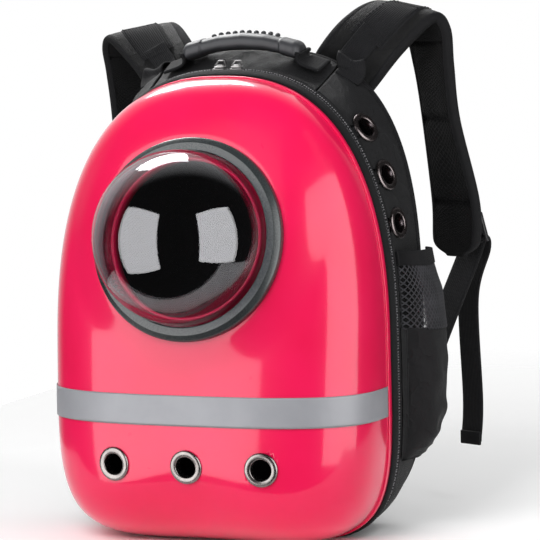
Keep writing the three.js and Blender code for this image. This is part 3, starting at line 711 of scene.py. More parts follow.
def back_pad():
    bm = bend(150, 150, back_place, (0.33, 0.45))
    outward(bm, BODY_CENTRE)
    for depth, out in BACK_EDGE:
        for vert in pull_rim(bm):
            place = band(base_angle(vert.co, BACK_HALF, BACK_HEIGHT), BAND_END, out * mm)
            vert.co = Vector((place.x, RIM_Y + BACK_START + depth * mm, place.z))
    return close_ends(bm)


piece("back_pad", back_pad(), ["back_panel"], "pad")
print("back pad", round((BACK_FACE - BACK_START) / mm, 1), "mm thick")

# %% [markdown]
# Each side pocket is a pouch of cloth with a net above it and an elastic edge. It leaves the side
# panel near the zip, bulges, and comes back near the rear seam. A table gives its bulge at each
# height.

# %% Side pockets
POCKET_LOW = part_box("side_pocket_right")[0][2]
POCKET_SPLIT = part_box("pocket_mesh_right")[0][2]
POCKET_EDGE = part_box("pocket_binding_right")[0][2]
POCKET_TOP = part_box("pocket_binding_right")[1][2]
POCKET_BULGE = 31 * mm
POCKET_ROWS = (  # up the pocket's height, share of the full bulge
    (0, 0.08),
    (0.035, 0.4),
    (0.07, 0.58),
    (0.14, 0.8),
    (0.27, 0.92),
    (0.4, 0.97),
    (0.64, 1),
    (0.82, 0.84),
    (0.93, 0.64),
    (1, 0.6),
)


def table_value(rows, share):
    for (low, a), (high, b) in zip(rows, rows[1:]):
        if share <= high:
            t = (share - low) / (high - low)
            return mix(a, b, t * t * (3 - 2 * t) if (a < b) else t)
    return rows[-1][1]


def pocket_point(share, height, out):
    up_share = (height - POCKET_LOW) / (POCKET_TOP - POCKET_LOW)
    place = mix(0.03, 0.97, share)
    depth = panel_depth(place)
    across = max(0.0, 1 - abs(2 * share - 1.08) ** 3.2) ** 0.6
    swell = table_value(POCKET_ROWS, up_share)
    out += side_crown(place) + 0.8 * mm + POCKET_BULGE * swell * across
    point = band(angle_at(height, depth), depth, out)
    return Vector((point.x, point.y, height))


def even_share(u):
    """Crowds the columns where the pocket turns away from the panel."""
    return 0.5 - 0.5 * math.cos(math.pi * u)


def pocket_part(low, high, out, rows, fold):
    """A stretch of the pocket's wall between two heights, with folds of a given height."""

    def place(u, v):
        height = mix(low, high, v)
        share = even_share(u)
        point = pocket_point(share, height, out)
        hang = math.sin(math.pi * share)
        low_folds = smooth(high - height, 0, 90 * mm)
        slant = math.sin((height * 0.55 + point.y * 1.1) / (5.2 * mm)) * low_folds
        wide = ripple(point, 30 * mm, 3.4, 8) * smooth(height - low, 0, 20 * mm)
        wave = (0.8 * slant + ripple(point, 17 * mm, 2.2, 4) + wide) * fold * hang
        return point + Vector((1, 0, 0)) * wave

    return lambda: outward(bend(56, rows, place, (0.13, high - low)), BODY_CENTRE)


def pocket_cloth():
    bm = pocket_part(POCKET_LOW + 2 * mm, POCKET_SPLIT, 1.0 * mm, 70, 1.3 * mm)()
    foot = [
        edge
        for edge in bm.edges
        if edge.is_boundary and all(v.co.z < POCKET_LOW + 2.1 * mm for v in edge.verts)
    ]
    bmesh.ops.extrude_edge_only(bm, edges=foot)
    for vert in {v for edge in foot for v in edge.verts}:
        vert.co.z = POCKET_LOW + 1.0 * mm
    return bm


both_sides("pocket_cloth", pocket_cloth, ["side_pocket"], "oxford", thickness=1.6 * mm)
net = pocket_part(POCKET_SPLIT - 2 * mm, POCKET_EDGE + 2 * mm, 0.8 * mm, 30, 0.5 * mm)
both_sides("pocket_net", net, ["pocket_mesh"], "mesh", thickness=0.5 * mm)
edge_tape = pocket_part(POCKET_EDGE, POCKET_TOP, 1.8 * mm, 10, 0.5 * mm)
both_sides("pocket_edge", edge_tape, ["pocket_binding"], "binding", thickness=2.6 * mm, levels=1)
print("pockets", round((POCKET_TOP - POCKET_LOW) / mm), "mm tall")

# %% [markdown]
# A shoulder strap is a long pad that rises from the back, folds over and hangs. A table holds the
# rows of its middle line and the turn of its width, and a smooth curve runs through them. Pad,
# edge tape, sewn webbing and stitches are all laid on the frame that travels along that curve.

# %% Strap frame
STRAP_WIDTH = 60 * mm
STRAP_THICK = 12 * mm
STRAP_REACH = 74 * mm
STRAP_RISE = 32 * mm
STRAP_END = 244 * mm
STRAP_SPREAD = 168 * mm
STRAP_TABLE = (  # out, back, up, turn, droop, width
    (0.4, 0, 0.66, 0, 39, 0.9),
    (0.51, 0, 0.765, 0, 39, 1.06),
    (0.66, 0.2, 0.91, 6, 28, 1.1),
    (0.815, 0.44, 1, 15, 12, 1.12),
    (0.905, 0.62, 0.93, 28, 2, 1),
    (0.925, 0.74, 0.78, 36, 0, 0.95),
    (0.945, 0.85, 0.56, 38, 0, 0.92),
    (1, 0.99, 0.23, 25, 0, 0.94),
    (1, 1, 0.06, 20, 0, 0.86),
    (1, 1, 0, 20, 0, 0.6),
)


def beyond(end, near):
    """The row that would come after a table's end."""
    return [2 * a - b for a, b in zip(end, near)]


def catmull(rows, share):
    """A smooth value between the rows of a table, each an equal share apart."""
    where = min(max(share, 0.0), 1.0) * (len(rows) - 1)
    i = min(int(where), len(rows) - 2)
    t = where - i
    before = rows[i - 1] if i else beyond(rows[0], rows[1])
    after = rows[i + 2] if i + 2 < len(rows) else beyond(rows[-1], rows[-2])
    out = []
    for a, b, c, d in zip(before, rows[i], rows[i + 1], after):
        m, n = (c - a) / 2, (d - b) / 2
        square, cube = 3 * c - 3 * b - 2 * m - n, 2 * b - 2 * c + m + n
        out.append(b + m * t + square * t**2 + cube * t**3)
    return out


def strap_row(share):
    out, behind, high, turn, droop, width = catmull(STRAP_TABLE, share)
    tall = BACK_HEIGHT + STRAP_RISE
    width *= 1 - 0.42 * smooth(share, 0.88, 1.0)
    y = BACK_FACE + GAP + STRAP_THICK / 2 + behind * STRAP_REACH
    middle = Vector((out * STRAP_SPREAD, RIM_Y + y, mix(STRAP_END, tall, high)))
    middle.y = max(middle.y, RIM_Y + BACK_FACE + STRAP_THICK / 2 + 2 * GAP)
    return middle, math.radians(turn), math.radians(droop), width * STRAP_WIDTH


def strap_frame(share):
    """Middle, direction of travel, direction of the width, way out and width of the strap."""
    middle, turn, droop, width = strap_row(share)
    ahead, behind = (strap_row(min(max(share + s, 0), 1))[0] for s in (0.01, -0.01))
    travel = (ahead - behind).normalized()
    flat = math.cos(droop)
    across = Vector((flat * math.cos(turn), -flat * math.sin(turn), -math.sin(droop)))
    return middle, travel, across, across.cross(travel).normalized(), width


def on_strap(share, side, height):
    """A place on the strap: side is a share of its width, height a distance above its middle."""
    middle, _, across, out, width = strap_frame(share)
    return middle + across * side * width + out * height


def slump(place):
    """The left strap has folded over lower, and its hanging part leans in to the pack."""
    place.z -= 17 * mm * smooth(place.z, 400 * mm, 490 * mm)
    behind = smooth(place.y, RIM_Y + BACK_FACE + 30 * mm, RIM_Y + BACK_FACE + 80 * mm)
    place.x += 11 * mm * behind * smooth(460 * mm - place.z, 0, 120 * mm)


STRAP_LENGTH = sum(
    (strap_frame((i + 1) / 60)[0] - strap_frame(i / 60)[0]).length for i in range(60)
)
print("strap", round(STRAP_LENGTH / mm), "mm long")

# %% Strap pad and edge tape
PAD_HALF = STRAP_THICK / 2
SEWN_LINES = (0.49, 0.664, 0.781)


def pad_height(side, share):
    """Height of the pad above its middle: crowned, and pinched at its bound edges."""
    reach = min(abs(side) * 2, 1.0)
    crown = (1 - reach**5) ** 0.5
    return PAD_HALF * (0.34 + 0.66 * crown) * (0.55 + 0.45 * smooth(1 - share, 0, 0.05))


def strap_pad():
    def place(u, v):
        turn = 2 * math.pi * v
        side = 0.5 * math.copysign(abs(math.cos(turn)) ** 0.8, math.cos(turn))
        lift = math.sin(turn)
        height = pad_height(side, u) * math.copysign(min(1, abs(lift) * 6), lift)
        if height < 0:
            height *= 1 - 0.55 * max(groove(u - line, 0.006) for line in SEWN_LINES)
        wave = ripple(strap_frame(u)[0] + Vector((side, height, 0)) * 0.06, 26 * mm, 0.7 * mm, 9)
        return on_strap(u, side, height + wave * lift)

    size = (STRAP_LENGTH, 2.2 * STRAP_WIDTH)
    return close_ends(bend(200, 48, place, size, wrap=True))


def strap_tape(sign):
    """The tape folded over one edge of the pad."""
    fold = [(0.42, 1.05), (0.47, 1.0), (0.515, 0.7)]
    section = fold + [(0.53, 0.0)] + [(side, -lift) for side, lift in reversed(fold)]

    def place(u, v):
        row = min(int(round(v * (len(section) - 1))), len(section) - 1)
        side, lift = section[row]
        height = (pad_height(0.44, u) + 0.5 * mm) * lift
        return on_strap(mix(0.003, 0.999, u), sign * side, height)

    return place


def strap_tapes():
    parts = []
    for sign in (-1, 1):
        tape = bend(200, 6, strap_tape(sign), (STRAP_LENGTH, 16 * mm))
        parts.append(outward(tape, strap_frame(0.5)[0]))
    return joined(*parts)


def strap_cover():
    """The plain cloth of the outer face, a little proud of the pad."""

    def place(u, v):
        side = mix(0.47, -0.47, v)
        return on_strap(mix(0.004, 0.998, u), side, pad_height(side, u) + 0.35 * mm)

    return outward(bend(200, 20, place, (STRAP_LENGTH, STRAP_WIDTH)), strap_frame(0.6)[0])


def sewn_lines():
    """Bars of stitches across the inner face."""
    places = []
    for line in SEWN_LINES:
        _, _, across, out, _ = strap_frame(line)
        for i in range(13):
            side = mix(-0.3, 0.3, i / 12)
            places.append((on_strap(line, side, -0.5 * pad_height(side, line)), across, -out))
    return grains(places, (2.6 * mm, 0.8 * mm, 0.8 * mm))


for made in both_sides("strap_pad", strap_pad, ["shoulder_strap"], "pad", slump):
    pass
both_sides("strap_cover", strap_cover, [], "oxford", slump, thickness=0.3 * mm)
both_sides("strap_bars", sewn_lines, [], "binding", slump)
both_sides("strap_tape", strap_tapes, [], "binding", slump, thickness=0.8 * mm, levels=1)

# %% Sewn webbing
PATCH_START, PATCH_END = 0.2, 0.9
PATCH_SHARE = 0.56


def strap_patch():
    def place(u, v):
        share = mix(PATCH_START, PATCH_END, u)
        side = mix(PATCH_SHARE / 2, -PATCH_SHARE / 2, v)
        edge = smooth(min(v, 1 - v), 0, 0.08)
        return on_strap(share, side, PAD_HALF + mix(0.2, 1.7, edge) * mm)

    length = (PATCH_END - PATCH_START) * STRAP_LENGTH
    return outward(bend(160, 14, place, (length, 34 * mm)), strap_frame(0.6)[0])


both_sides("strap_patch", strap_patch, ["strap_webbing"], "webbing", slump)


def strap_thread():
    """Stitches along both edges of the webbing, and across it where it is sewn down."""
    places = []
    steps = int((PATCH_END - PATCH_START) * STRAP_LENGTH / (4 * mm))
    for i in range(steps):
        share = mix(PATCH_START + 0.01, PATCH_END - 0.01, i / steps)
        _, travel, _, out, _ = strap_frame(share)
        for side in (-0.245, 0.245):
            places.append((on_strap(share, side, PAD_HALF + 1.75 * mm), travel, out))
    for bar in (0.215, 0.33, 0.46, 0.6, 0.74, 0.885):
        _, _, across, out, _ = strap_frame(bar)
        for i in range(9):
            crest = on_strap(bar, mix(-0.22, 0.22, i / 8), PAD_HALF + 1.9 * mm)
            places.append((crest, across, out))
    return grains(places, (2.8 * mm, 0.7 * mm, 0.7 * mm))


both_sides("strap_stitches", strap_thread, [], "binding", slump)
print("straps", len([p for p in pieces if p.name.startswith("strap")]))

# %% [markdown]
# Loops, buckles and the adjusting webbing are flat stock swept along smooth curves. One helper
# lays a flat band along points and turns its width from one direction to another on the way.

# %% Webbing helper
WEBBING_WIDTH = 25 * mm
WEBBING_THICK = 1.6 * mm


def lay_webbing(points, start, end=None, width=WEBBING_WIDTH, steps=None):
    """Flat webbing along a smooth curve through points."""
    end = end or start
    rows = [tuple(p) for p in points]
    count = steps or 10 * (len(points) - 1)
    length = sum((b - a).length for a, b in zip(points, points[1:]))

    def place(u, v):
        middle = Vector(catmull(rows, u))
        ahead = Vector(catmull(rows, min(u + 0.004, 1)))
        travel = (ahead - Vector(catmull(rows, max(u - 0.004, 0)))).normalized()
        wide = start.lerp(end, min(1, 2 * u))
        wide = (wide - travel * wide.dot(travel)).normalized()
        bow = 0.25 * mm * math.cos(math.pi * (v - 0.5)) * wide.cross(travel)
        return middle + wide * (v - 0.5) * width + bow

    return bend(count, 8, place, (length, width))


def along_band(degrees):
    ahead, behind = (band(math.radians(degrees + d), BAND_END) for d in (-2, 2))
    return (ahead - behind).normalized()


# %% Loops from the sewn webbing to the top of the pack
def loop_points():
    level = PAD_HALF + WEBBING_THICK
    sewn = on_strap(PATCH_START + 0.03, 0, level + 0.8 * mm)
    start = on_strap(PATCH_START - 0.012, 0, level)
    arch = on_strap(PATCH_START - 0.05, 0, level + 2 * mm)
    seam = band(math.radians(SEAM_TOP - 4), BAND_END - 4 * mm, SIDE_CROWN + 4 * mm)
    crest = arch.lerp(seam, 0.45) + Vector((0, -5, 4)) * mm
    under = band(math.radians(SEAM_TOP - 4), BAND_END - 12 * mm, SIDE_CROWN + 0.8 * mm)
    return [sewn, start, arch, crest, seam, under]


def strap_loop():
    return lay_webbing(loop_points(), strap_frame(PATCH_START)[2], along_band(SEAM_TOP - 4))


both_sides("loop_web", strap_loop, ["strap_loop"], "webbing", slump, thickness=WEBBING_THICK)

# %% [markdown]
# The ladder buckle is a moulded frame with three bars. Its webbing turns round the lower bar, so
# that pulling the tail tightens the strap. Bevelled edges give the plastic its thin lines of
# light.

# %% Buckles
BUCKLE_WIDTH = 37 * mm
BUCKLE_HEIGHT = 30 * mm
BUCKLE_THICK = 4 * mm
BAR = 5 * mm
BUCKLE_SHARE = 0.81  # how far along the strap it hangs


def buckle_frame():
    middle, _, across, out, _ = strap_frame(BUCKLE_SHARE)
    away = Vector((out.x, out.y, 0)).normalized()
    down = (Vector((0, 0, -1)) + away * 0.35).normalized()
    normal = across.cross(down).normalized()
    if normal.dot(away) < 0:
        normal = -normal
    return middle + out * (PAD_HALF + 9 * mm), down, normal, down.cross(normal).normalized()


def block(size, centre, bevel, segments=3):
    """A box with rounded edges, in the buckle's own directions."""
    bm = bmesh.new()
    bmesh.ops.create_cube(bm, size=1)
    bmesh.ops.scale(bm, vec=size, verts=bm.verts)
    bmesh.ops.bevel(
        bm,
        geom=bm.edges[:],
        offset=bevel,
        affect="EDGES",
        segments=segments,
        profile=0.5,
        material=-1,
    )
    bmesh.ops.translate(bm, vec=centre, verts=bm.verts)
    return bm


def buckle():
    hang, down, normal, across = buckle_frame()
    bars = (0, (BUCKLE_HEIGHT - BAR) / 2, BUCKLE_HEIGHT - BAR)
    thicks = (BUCKLE_THICK, BUCKLE_THICK * 0.9, BUCKLE_THICK * 1.15)
    parts = [
        block((BUCKLE_WIDTH - 2 * mm, BAR, t), (0, b, 0), 1.2 * mm) for b, t in zip(bars, thicks)
    ]
    side = (BUCKLE_WIDTH - BAR) / 2
    for x in (-side, side):
        parts.append(
            block((BAR, BUCKLE_HEIGHT, BUCKLE_THICK), (x, BUCKLE_HEIGHT / 2 - BAR / 2, 0), 1.3 * mm)
        )
    rib = (BUCKLE_WIDTH * 0.62, 0.8 * mm, 0.8 * mm)
    for i in range(5):
        parts.append(block(rib, (0, bars[2] + (i - 2) * 0.8 * mm, 2.5 * mm), 0.25 * mm, 1))
    whole = joined(*parts)
    turn = Matrix((across, down, normal)).transposed().to_4x4()
    bmesh.ops.transform(whole, matrix=Matrix.Translation(hang) @ turn, verts=whole.verts)
    bmesh.ops.recalc_face_normals(whole, faces=whole.faces)
    return whole


both_sides("buckle", buckle, ["strap_buckle"], "plastic", slump)

# %% Webbing through the buckles
TAIL_SHIFT = 12 * mm
TAIL_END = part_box("adjuster_webbing_right")[0][2] + 6 * mm


def turn_round(bar, normal, upward):
    radius = math.hypot(BUCKLE_THICK, BAR) / 2 + WEBBING_THICK / 2 + 1.2 * mm
    angles = [math.radians(a) for a in (-90, -45, 0, 45, 90)]
    return [bar + (normal * math.sin(a) + upward * math.cos(a)) * radius for a in angles]


def buckle_loop():
    hang, down, normal, across = buckle_frame()
    level = PAD_HALF + 2 * WEBBING_THICK + 1.4 * mm
    far, near = (on_strap(BUCKLE_SHARE - ahead, 0, level) for ahead in (0.06, 0.03))
    over = far + normal * (WEBBING_THICK + 1.2 * mm)
    return lay_webbing([near, *turn_round(hang, normal, down), over], across)


def lower_turn():
    """The way round the buckle's lower bar, and the end of the tail that hangs from it."""
    hang, down, normal, _ = buckle_frame()
    turn = turn_round(hang + down * (BUCKLE_HEIGHT - BAR), normal, -down)
    return turn, Vector((turn[-1].x - TAIL_SHIFT, turn[-1].y + 4 * mm, TAIL_END))


def adjuster():
    _, down, _, across = buckle_frame()
    turn, tail = lower_turn()
    near, far = turn[0], turn[-1]
    on_back = RIM_Y + BACK_FACE + WEBBING_THICK + mm
    anchor = Vector((0.39 * BACK_HALF * 2, on_back, 0.13 * BACK_HEIGHT))
    route = [
        anchor,
        near.lerp(anchor, 0.5) + Vector((0, 3, 0)) * mm,
        near + down * 8 * mm,
        *turn,
        far + down * 12 * mm,
        far.lerp(tail, 0.3) + Vector((-8, 2, 0)) * mm,
        far.lerp(tail, 0.8) + Vector((-1, 4, 0)) * mm,
        tail,
    ]
    return lay_webbing(route, Vector((1, 0, 0)), across, steps=170)


both_sides("buckle_web", buckle_loop, ["buckle_loop"], "webbing", slump, thickness=WEBBING_THICK)
both_sides("adjuster", adjuster, ["adjuster_webbing"], "webbing", slump, thickness=WEBBING_THICK)


def tail_hem():
    """The folded and sewn end of the hanging webbing."""
    across = buckle_frame()[3]
    tail = lower_turn()[1]
    bm = block((WEBBING_WIDTH * 0.98, 3.4 * mm, 13 * mm), (0, 0, 0), 0.8 * mm, 2)
    flat = Vector((across.x, across.y, 0)).normalized()
    upward = Vector((0, 0, 1))
    turn = Matrix((flat, upward.cross(flat), upward)).transposed().to_4x4()
    place = Matrix.Translation(tail + Vector((0, 0, 3)) * mm) @ turn
    bmesh.ops.transform(bm, matrix=place, verts=bm.verts)
    bm.loops.layers.uv.new(UV)
    return bm


both_sides("tail_hem", tail_hem, [], "webbing", slump)
print("webbing", WEBBING_WIDTH / mm, "mm wide")

# %% [markdown]
# The grip is moulded rubber: an arched bar with a collar at each end and a row of ribs over its
# middle. Rings of a tube follow the arch, and a table of sizes gives the collars.

# %% Grip
GRIP_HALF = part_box("grip")[1][0]
GRIP_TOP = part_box("grip")[1][2]
GRIP_Y = (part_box("grip")[0][1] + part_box("grip")[1][1]) / 2
GRIP_WIDTH = 26 * mm
GRIP_THICK = 16 * mm
GRIP_DROP = 10 * mm
GRIP_TABLE = (  # along from the middle, rise, size
    (0.0, 1.0, 0.98),
    (0.4, 0.82, 0.96),
    (0.66, 0.5, 0.93),
    (0.7, 0.45, 1.06),
    (0.92, 0.1, 1.08),
    (0.96, 0.05, 0.98),
    (1.0, 0.0, 0.72),
)
BEADS = 10
BEAD_PITCH = 7.2 * mm


def grip_middle(along):
    """Height of the bar's middle line, and its size there."""
    where = abs(along)
    rise = table_value([(a, r) for a, r, _ in GRIP_TABLE], where)
    size = table_value([(a, s) for a, _, s in GRIP_TABLE], where)
    return GRIP_TOP - GRIP_THICK / 2 - GRIP_DROP * (1 - rise), size


def grip_place(u, v):
    along = 2 * u - 1
    top, size = grip_middle(along)
    turn = 2 * math.pi * v
    c, s = math.cos(turn), math.sin(turn)
    box = (abs(c) ** 2.6 + abs(s) ** 2.6) ** (-1 / 2.6) * size
    return Vector(
        (along * GRIP_HALF, GRIP_Y + box * c * GRIP_WIDTH / 2, top + box * s * GRIP_THICK / 2)
    )


grip_skin = close_ends(bend(260, 48, grip_place, (2 * GRIP_HALF, 60 * mm), wrap=True))
piece("grip_skin", grip_skin, ["grip"], "rubber")

bead_places = []
for i in range(BEADS):
    x = (i - (BEADS - 1) / 2) * BEAD_PITCH
    top = grip_middle(x / GRIP_HALF)[0] + GRIP_THICK / 2 + 0.4 * mm
    crest = Vector((x, GRIP_Y + 4.5 * mm, top))
    bead_places.append((crest, Vector((1, 0, 0)), Vector((0, 0, 1))))
piece("grip_beads", grains(bead_places, (4.6 * mm, 7 * mm, 4.4 * mm), 2), [], "rubber")


def grip_tab():
    top = GRIP_TOP - GRIP_THICK / 2
    end = Vector((GRIP_HALF - 6 * mm, GRIP_Y, top - GRIP_DROP + 1 * mm))
    slope = (band(math.radians(66), BAND_END) - band(math.radians(66), 0)).normalized()
    setback = GRIP_Y - RIM_Y
    seat = band(math.radians(69), setback, 3.2 * mm)
    tip = band(math.radians(63), setback, 3.6 * mm)
    middle = end.lerp(seat, 0.5) + Vector((3, 0, 3)) * mm
    return lay_webbing([end, middle, seat, tip], Vector((0, 1, 0)), slope, width=GRIP_WIDTH)


both_sides("grip_web", grip_tab, ["grip_tab"], "webbing", thickness=2.6 * mm)

# %% Zip sliders
SLIDER_Y = RIM_Y + (BINDING_END + ZIP_END) / 2
PULL_LEAN = math.radians(60)


def slider():
    """A flat body on the teeth, and a six-sided ring that leans back from it."""
    low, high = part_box("zip_slider_right")
    x, base, top = low[0] + 6.5 * mm, low[2], high[2]
    wire = arc(0.65, (5.4, 0), 0, 360, 8)
    lean = Vector((0, -math.sin(PULL_LEAN), math.cos(PULL_LEAN)))
    parts = [
        block((12 * mm, 8.4 * mm, 1.5 * mm), (x, SLIDER_Y, base + 0.9 * mm), 0.6 * mm, 2),
        block((10 * mm, 7.0 * mm, 1.5 * mm), (x, SLIDER_Y, base + 2.7 * mm), 0.6 * mm, 2),
        block((7.5 * mm, 2.4 * mm, 2.0 * mm), (x, SLIDER_Y, base + 3.9 * mm), 0.8 * mm, 2),
        spun(scaled(wire), Vector((x, SLIDER_Y + 1 * mm, top - 2.4 * mm)), lean, 6),
    ]
    return joined(*parts)


both_sides("slider", slider, ["zip_slider"], "nickel")
print("pieces", len(pieces))

# %% [markdown]
# Finishes are node trees, but reading them as sums is easier. A small class wraps a node's
# socket, so that an expression such as 1 - mask adds the nodes, and one method makes every other
# kind of node.

# %% A class for shader maths
class Wire:
    """An output of a node that can be used in an expression."""

    def __init__(self, finish, socket):
        self.finish = finish
        self.socket = socket

    def math(self, kind, *others):
        sockets = dict(enumerate((self, *others)))
        return self.finish.node("ShaderNodeMath", {"operation": kind}, sockets)

    def __add__(self, other):
        return self.math("ADD", other)

    __radd__ = __add__

    def __sub__(self, other):
        return self.math("SUBTRACT", other)

    def __rsub__(self, other):
        return (self * -1).math("ADD", other)

    def __mul__(self, other):
        return self.math("MULTIPLY", other)

    def __pow__(self, other):
        return self.math("POWER", other)

    def __abs__(self):
        return self.math("ABSOLUTE")

    def wave(self):
        return self.math("SINE")


class Finish:
    """A material on one shader, with a bump and the sockets that vary."""

    def __init__(self, title, colour, roughness, **sockets):
        self.material = bpy.data.materials.new(title)
        self.material.use_nodes = True
        self.tree = self.material.node_tree
        self.shader = self.tree.nodes["Principled BSDF"]
        self.material.diffuse_color = colour
        self.set("Base Color", colour)
        self.set("Roughness", roughness)
        for name, value in sockets.items():
            self.set(name.replace("_", " ").title().replace("Ior", "IOR"), value)

    def set(self, name, value):
        self.feed(self.shader.inputs[name], value)

    def feed(self, socket, value):
        if isinstance(value, Wire):
            self.tree.links.new(value.socket, socket)
        else:
            socket.default_value = value

    def node(self, kind, settings=None, sockets=None, out=0):
        made = self.tree.nodes.new(kind)
        for key, value in (settings or {}).items():
            if key == "stops":
                ramp = made.color_ramp.elements
                for element, (place, colour) in zip(ramp, value):
                    element.position, element.color = place, colour
            else:
                setattr(made, key, value)
        for key, value in (sockets or {}).items():
            self.feed(made.inputs[key], value)
        return Wire(self, made.outputs[out])

    def place(self):
        return self.node("ShaderNodeTexCoord", out="Object")

    def cloth(self):
        """The piece's own UV map in metres, as two wires."""
        uv = self.node("ShaderNodeUVMap", {"uv_map": UV})
        return [self.node("ShaderNodeSeparateXYZ", sockets={0: uv}, out=i) for i in (0, 1)]

    def noise(self, size, detail=3.0, rough=0.5):
        sockets = {"Vector": self.place(), "Scale": 1 / size}
        sockets |= {"Detail": detail, "Roughness": rough}
        return self.node("ShaderNodeTexNoise", sockets=sockets)

    def blend(self, share, a, b):
        return self.node("ShaderNodeMix", {"data_type": "RGBA"}, {0: share, 6: a, 7: b}, out=2)

    def ramp(self, value, low, high):
        return self.node("ShaderNodeMapRange", sockets={0: value, 1: low, 2: high}, out=0)

    def bump(self, height, depth, strength=1.0):
        sockets = {"Height": height, "Distance": depth, "Strength": strength}
        self.set("Normal", self.node("ShaderNodeBump", sockets=sockets))


print("finish class ready")

# %% [markdown]
# The moulded and metal parts are simple: a base colour, a gloss, and the small unevenness that
# keeps them from looking drawn. The shell's plastic gets a clear coat over a slow orange-peel bump.

# %% Hard finishes
def srgb(red, green, blue):
    """A colour as the eye names it, from 0 to 255, in the renderer's linear scale."""
    scale = [c / 255 for c in (red, green, blue)]
    return (*[c / 12.92 if c <= 0.04045 else ((c + 0.055) / 1.055) ** 2.4 for c in scale], 1.0)


def shade(colour, share):
    """A lighter or darker tone of a colour."""
    return (*[min(c * share, 1.0) for c in colour[:3]], 1.0)


def moulded_shell():
    f = Finish("glossy_shell", srgb(226, 14, 76), 0.3, coat_weight=1.0, coat_roughness=0.1)
    f.set("Coat IOR", 1.34)
    f.set("Specular IOR Level", 0.15)
    f.bump(f.noise(38 * mm, 1.0), 0.3 * mm, 0.12)
    wide = f.ramp(f.noise(70 * mm), 0.35, 0.65)
    f.set("Base Color", f.blend(wide, srgb(222, 10, 72), srgb(227, 14, 78)))
    f.set("Roughness", f.ramp(f.noise(14 * mm, 3.0), 0.0, 1.0) * 0.06 + 0.26)
    return f


def clear_dome():
    """Light passes through the thin wall under a grey tint of painted shade, and mirrors more at a
    slant.
    """
    f = Finish("clear_dome", srgb(250, 250, 252), 0.015, metallic=1.0)
    # The grey tint darkens the inside seen through the dome, which is clear: painted shade.
    through = f.node("ShaderNodeBsdfTransparent", sockets={"Color": (0.8, 0.8, 0.82, 1)})
    slant = f.node("ShaderNodeLayerWeight", sockets={"Blend": 0.5}, out="Facing")
    scuffs = f.ramp(f.noise(3 * mm, 6.0, 0.7), 0.55, 0.95) * 0.01
    share = 0.062 + slant ** 5.0 * 0.6 + scuffs
    mixer = f.tree.nodes.new("ShaderNodeMixShader")
    f.feed(mixer.inputs[0], share)
    f.tree.links.new(through.socket, mixer.inputs[1])
    f.tree.links.new(f.shader.outputs[0], mixer.inputs[2])
    f.tree.links.new(mixer.outputs[0], f.tree.nodes["Material Output"].inputs[0])
    return f


def plain_plastic(title, colour, roughness, grain):
    f = Finish(title, colour, roughness)
    spots = f.noise(grain, 3.0, 0.6)
    f.bump(spots, 0.12 * mm, 0.5)
    f.set("Roughness", spots * 0.22 + (roughness - 0.08))
    wide = f.ramp(f.noise(18 * mm), 0.3, 0.7)
    f.set("Base Color", f.blend(wide, shade(colour, 0.78), colour))
    return f


def plated(title, colour, roughness):
    f = Finish(title, colour, roughness, metallic=1.0)
    rub = f.noise(1.6 * mm, 4.0, 0.65)
    f.set("Roughness", rub * 0.18 + (roughness - 0.05))
    tint = f.ramp(f.noise(7 * mm), 0.3, 0.7)
    f.set("Base Color", f.blend(tint, shade(colour, 0.72), colour))
    f.bump(rub, 0.03 * mm, 0.4)
    return f


finishes = {
    "shell": moulded_shell(),
    "dome": clear_dome(),
    "ring": plain_plastic("satin_ring", srgb(46, 51, 52), 0.24, 0.9 * mm),
    "plastic": plain_plastic("black_plastic", srgb(34, 34, 36), 0.42, 0.8 * mm),
    "rubber": plain_plastic("black_rubber", srgb(46, 47, 51), 0.5, 0.7 * mm),
    "nickel": plated("bright_nickel", srgb(128, 123, 121), 0.22),
    "gunmetal": plated("dark_gunmetal", srgb(112, 104, 104), 0.24),
}
print("hard finishes", len(finishes))

# %% [markdown]
# Cloth is drawn on the piece's own UV metres. Two crossed waves make a weave, one wave makes the
# ribs of tape and webbing, and two slanted waves make the diamonds of the net and of the air
# mesh.

# %% Cloth finishes
def tone(f, colour, size=24 * mm, amount=0.35, relief_light_shade=None):
    """Slow patches of lighter and darker dye; painted light on strands, painted shade in hollows.
    """
    share = f.ramp(f.noise(size, 4.0, 0.6), 0.3, 0.7)
    # The relief mask paints raised strands lighter and the hollows between them darker: light and
    # shade.
    if relief_light_shade is not None:
        share = share * 0.5 + relief_light_shade * 0.5
    f.set("Base Color", f.blend(share, shade(colour, 1 - amount), shade(colour, 1 + amount)))


def woven(title, colour, pitch, depth, roughness=0.6, sheen=0.02):
    f = Finish(title, colour, roughness, sheen_weight=sheen, specular_ior_level=0.2)
    u, v = f.cloth()
    warp, weft = (w * (2 * math.pi / pitch) for w in (u, v))
    threads = abs(warp.wave()) * abs((weft + warp.wave() * 0.6).wave())
    creases = abs(f.noise(26 * mm, 3.0, 0.55) - 0.5) ** 0.6
    f.bump(threads + f.noise(6 * mm) * 0.6 - creases * 9, depth, 0.75)
    # Painted light on the thread crests and painted shade between the threads.
    tone(f, colour, relief_light_shade=threads)
    f.set("Roughness", f.noise(12 * mm) * 0.16 + (roughness - 0.08))
    return f


def ribbed(title, colour, pitch, depth, cross=0.35):
    f = Finish(title, colour, 0.78, sheen_weight=0.02, specular_ior_level=0.14)
    u, v = f.cloth()
    ribs = abs((v * (math.pi / pitch)).wave())
    picks = abs((u * (math.pi / (pitch * 0.7))).wave())
    f.bump(ribs + picks * cross, depth, 0.7)
    # Painted light on the rib crests and painted shade in the grooves between them.
    tone(f, colour, 14 * mm, 0.22, ribs * 0.7 + picks * 0.3)
    f.set("Roughness", f.noise(3 * mm) * 0.2 + 0.68)
    return f


def diamonds(f, pitch):
    """Height of a lattice of slanted strands, one at a strand and zero in a cell."""
    u, v = f.cloth()
    one = abs(((u + v * 0.72) * (math.pi / pitch)).wave())
    other = abs(((u - v * 0.72) * (math.pi / pitch)).wave())
    return 1 - one.math("MINIMUM", other)


